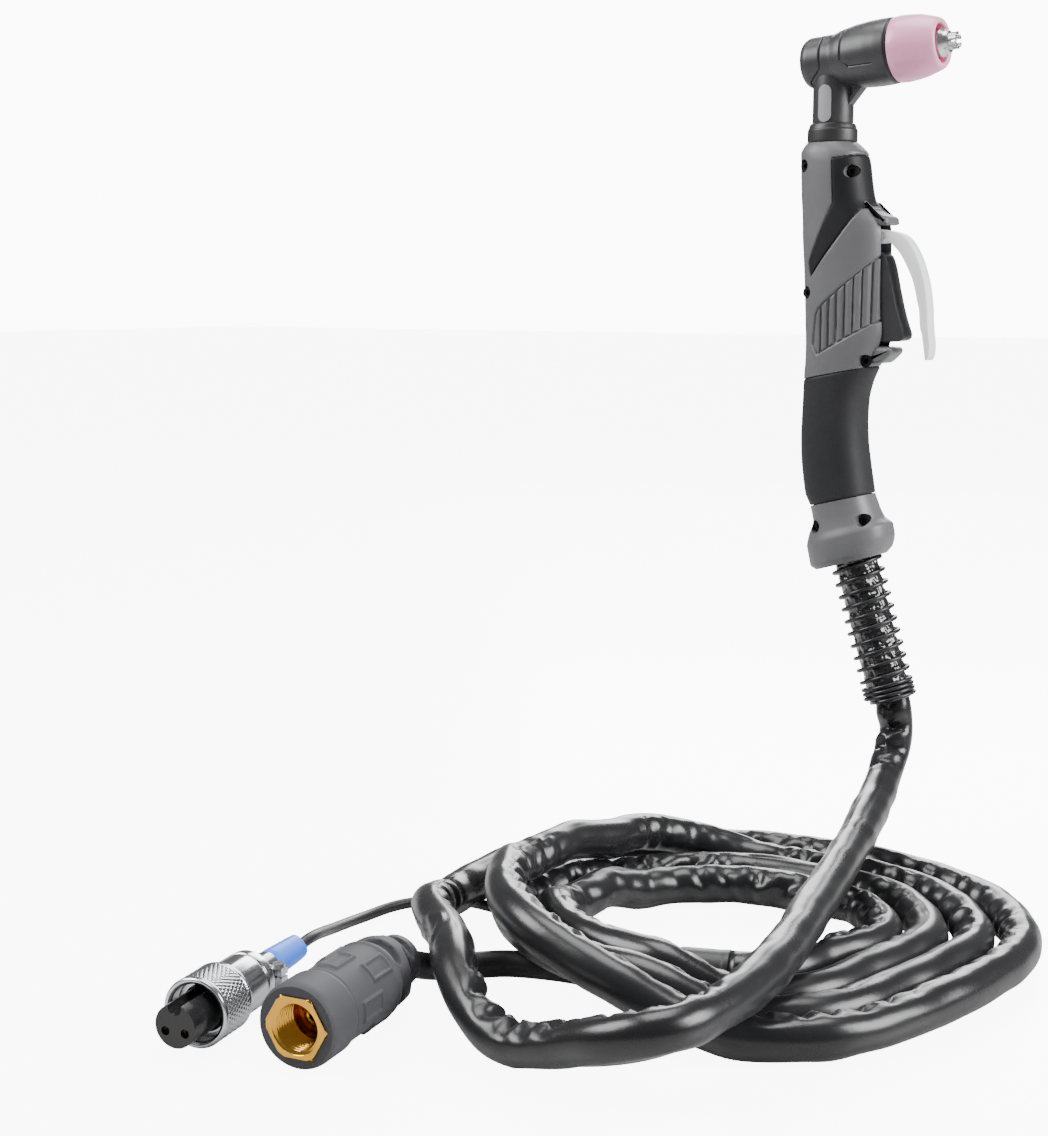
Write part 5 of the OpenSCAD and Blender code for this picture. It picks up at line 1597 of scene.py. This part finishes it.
@dataclass
class Plug:
    """Two-pole control plug: shell, knurled coupling ring and heat-shrink tail."""

    shop: Shop
    ring_radius: float = 12.5

    def build(self) -> None:
        """Builds the shell, the ring and the heat-shrink."""
        origin, way = lane([PLUG_AT])[0], level_way(PLUG_YAW)
        r = self.ring_radius
        shell = turned("plug_barrel", [
            (7.75, 25), (8.3, 25), (8.3, 18), (r - 2.4, 18), (r - 2.4, 28.5), (r - 1.9, 30.1), (r - 1.9, 43),
            (r - 2.3, 43.3), (r - 2.3, 44), (r - 1.9, 44.3), (r - 2.1, 48), (6.4, 52), (3.0, 52), (3.0, 50),
            (5.2, 50), (5.2, 35), (7.75, 35)],
            origin, way, 128, 0.25)
        self.shop.place(crisp(shell), "plug_chrome", nodes=("plug_shell",))
        profile = dense([
            (r - 2.35, 18), (r - 2.35, 13), (r - 1.4, 12), (r - 0.5, 12), (r, 12.6), (r, 29), (r - 0.5, 30),
            (r - 1.8, 30), (r - 2.35, 28.4)], 0.25, 0.25)
        a = circle(288)[None, :]
        s, radius = profile[:, 1:2], profile[:, :1]
        lean = s / 1.5 * 2 * math.pi / 2
        knurl = np.maximum(np.cos(48 * a + lean), np.cos(48 * a - lean))
        band = ease(14.0, 14.4, s) * ease(28.2, 27.8, s) * (radius > r - 0.3)
        ring = lathe("plug_knurl", s, radius - 0.3 * (0.5 + 0.5 * knurl) ** 2 * band, origin, way)
        self.shop.place(crisp(ring, 60), "plug_chrome", body="plug_collar", nodes=("plug_ring",))
        s = np.array([58, 58, 60.1, 60.4, 61.5, 63, 68, 73, 78, 81, 81, 58], float)[:, None]
        radius = np.array([2.4, 4.3, 4.3, 5.6, 6.0, 6.0, 5.8, 5.6, 5.4, 5.2, 2.4, 2.4])[:, None]
        squared = 1 - 0.09 * (1 - np.cos(4 * a[:, ::3])) / 2 * (radius > 3)
        shrink = lathe("shrink_tube", s, radius * squared, origin, way)
        self.shop.place(crisp(shrink, 50), "shrink_blue", nodes=("heat_shrink",))


def carried_over(shop: Shop) -> None:
    """Gives every node that is still shown its finish.

    Args:
        shop: the frame and the finishes.
    """
    slots = {s["node"]: s["material_slot"] for s in shop.frame["record"]["subparts"]}
    for name, node in shop.frame["nodes"].items():
        if name not in shop.replaced:
            shop.wardrobe.dress(node, slots[name])
            LOG.info("%s carried over as %s", name, slots[name])


def main() -> None:
    """Builds the studio and every sub-assembly."""
    logging.basicConfig(level=logging.INFO, format="%(name)s %(message)s")
    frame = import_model()
    Studio().build()
    shop = Shop(frame)
    for assembly in (Connector, Plug, Lead, StrainRelief, InnerRuns, Head, Handle, Trigger):
        assembly(shop).build()
    carried_over(shop)


if __name__ == "__main__":
    main()
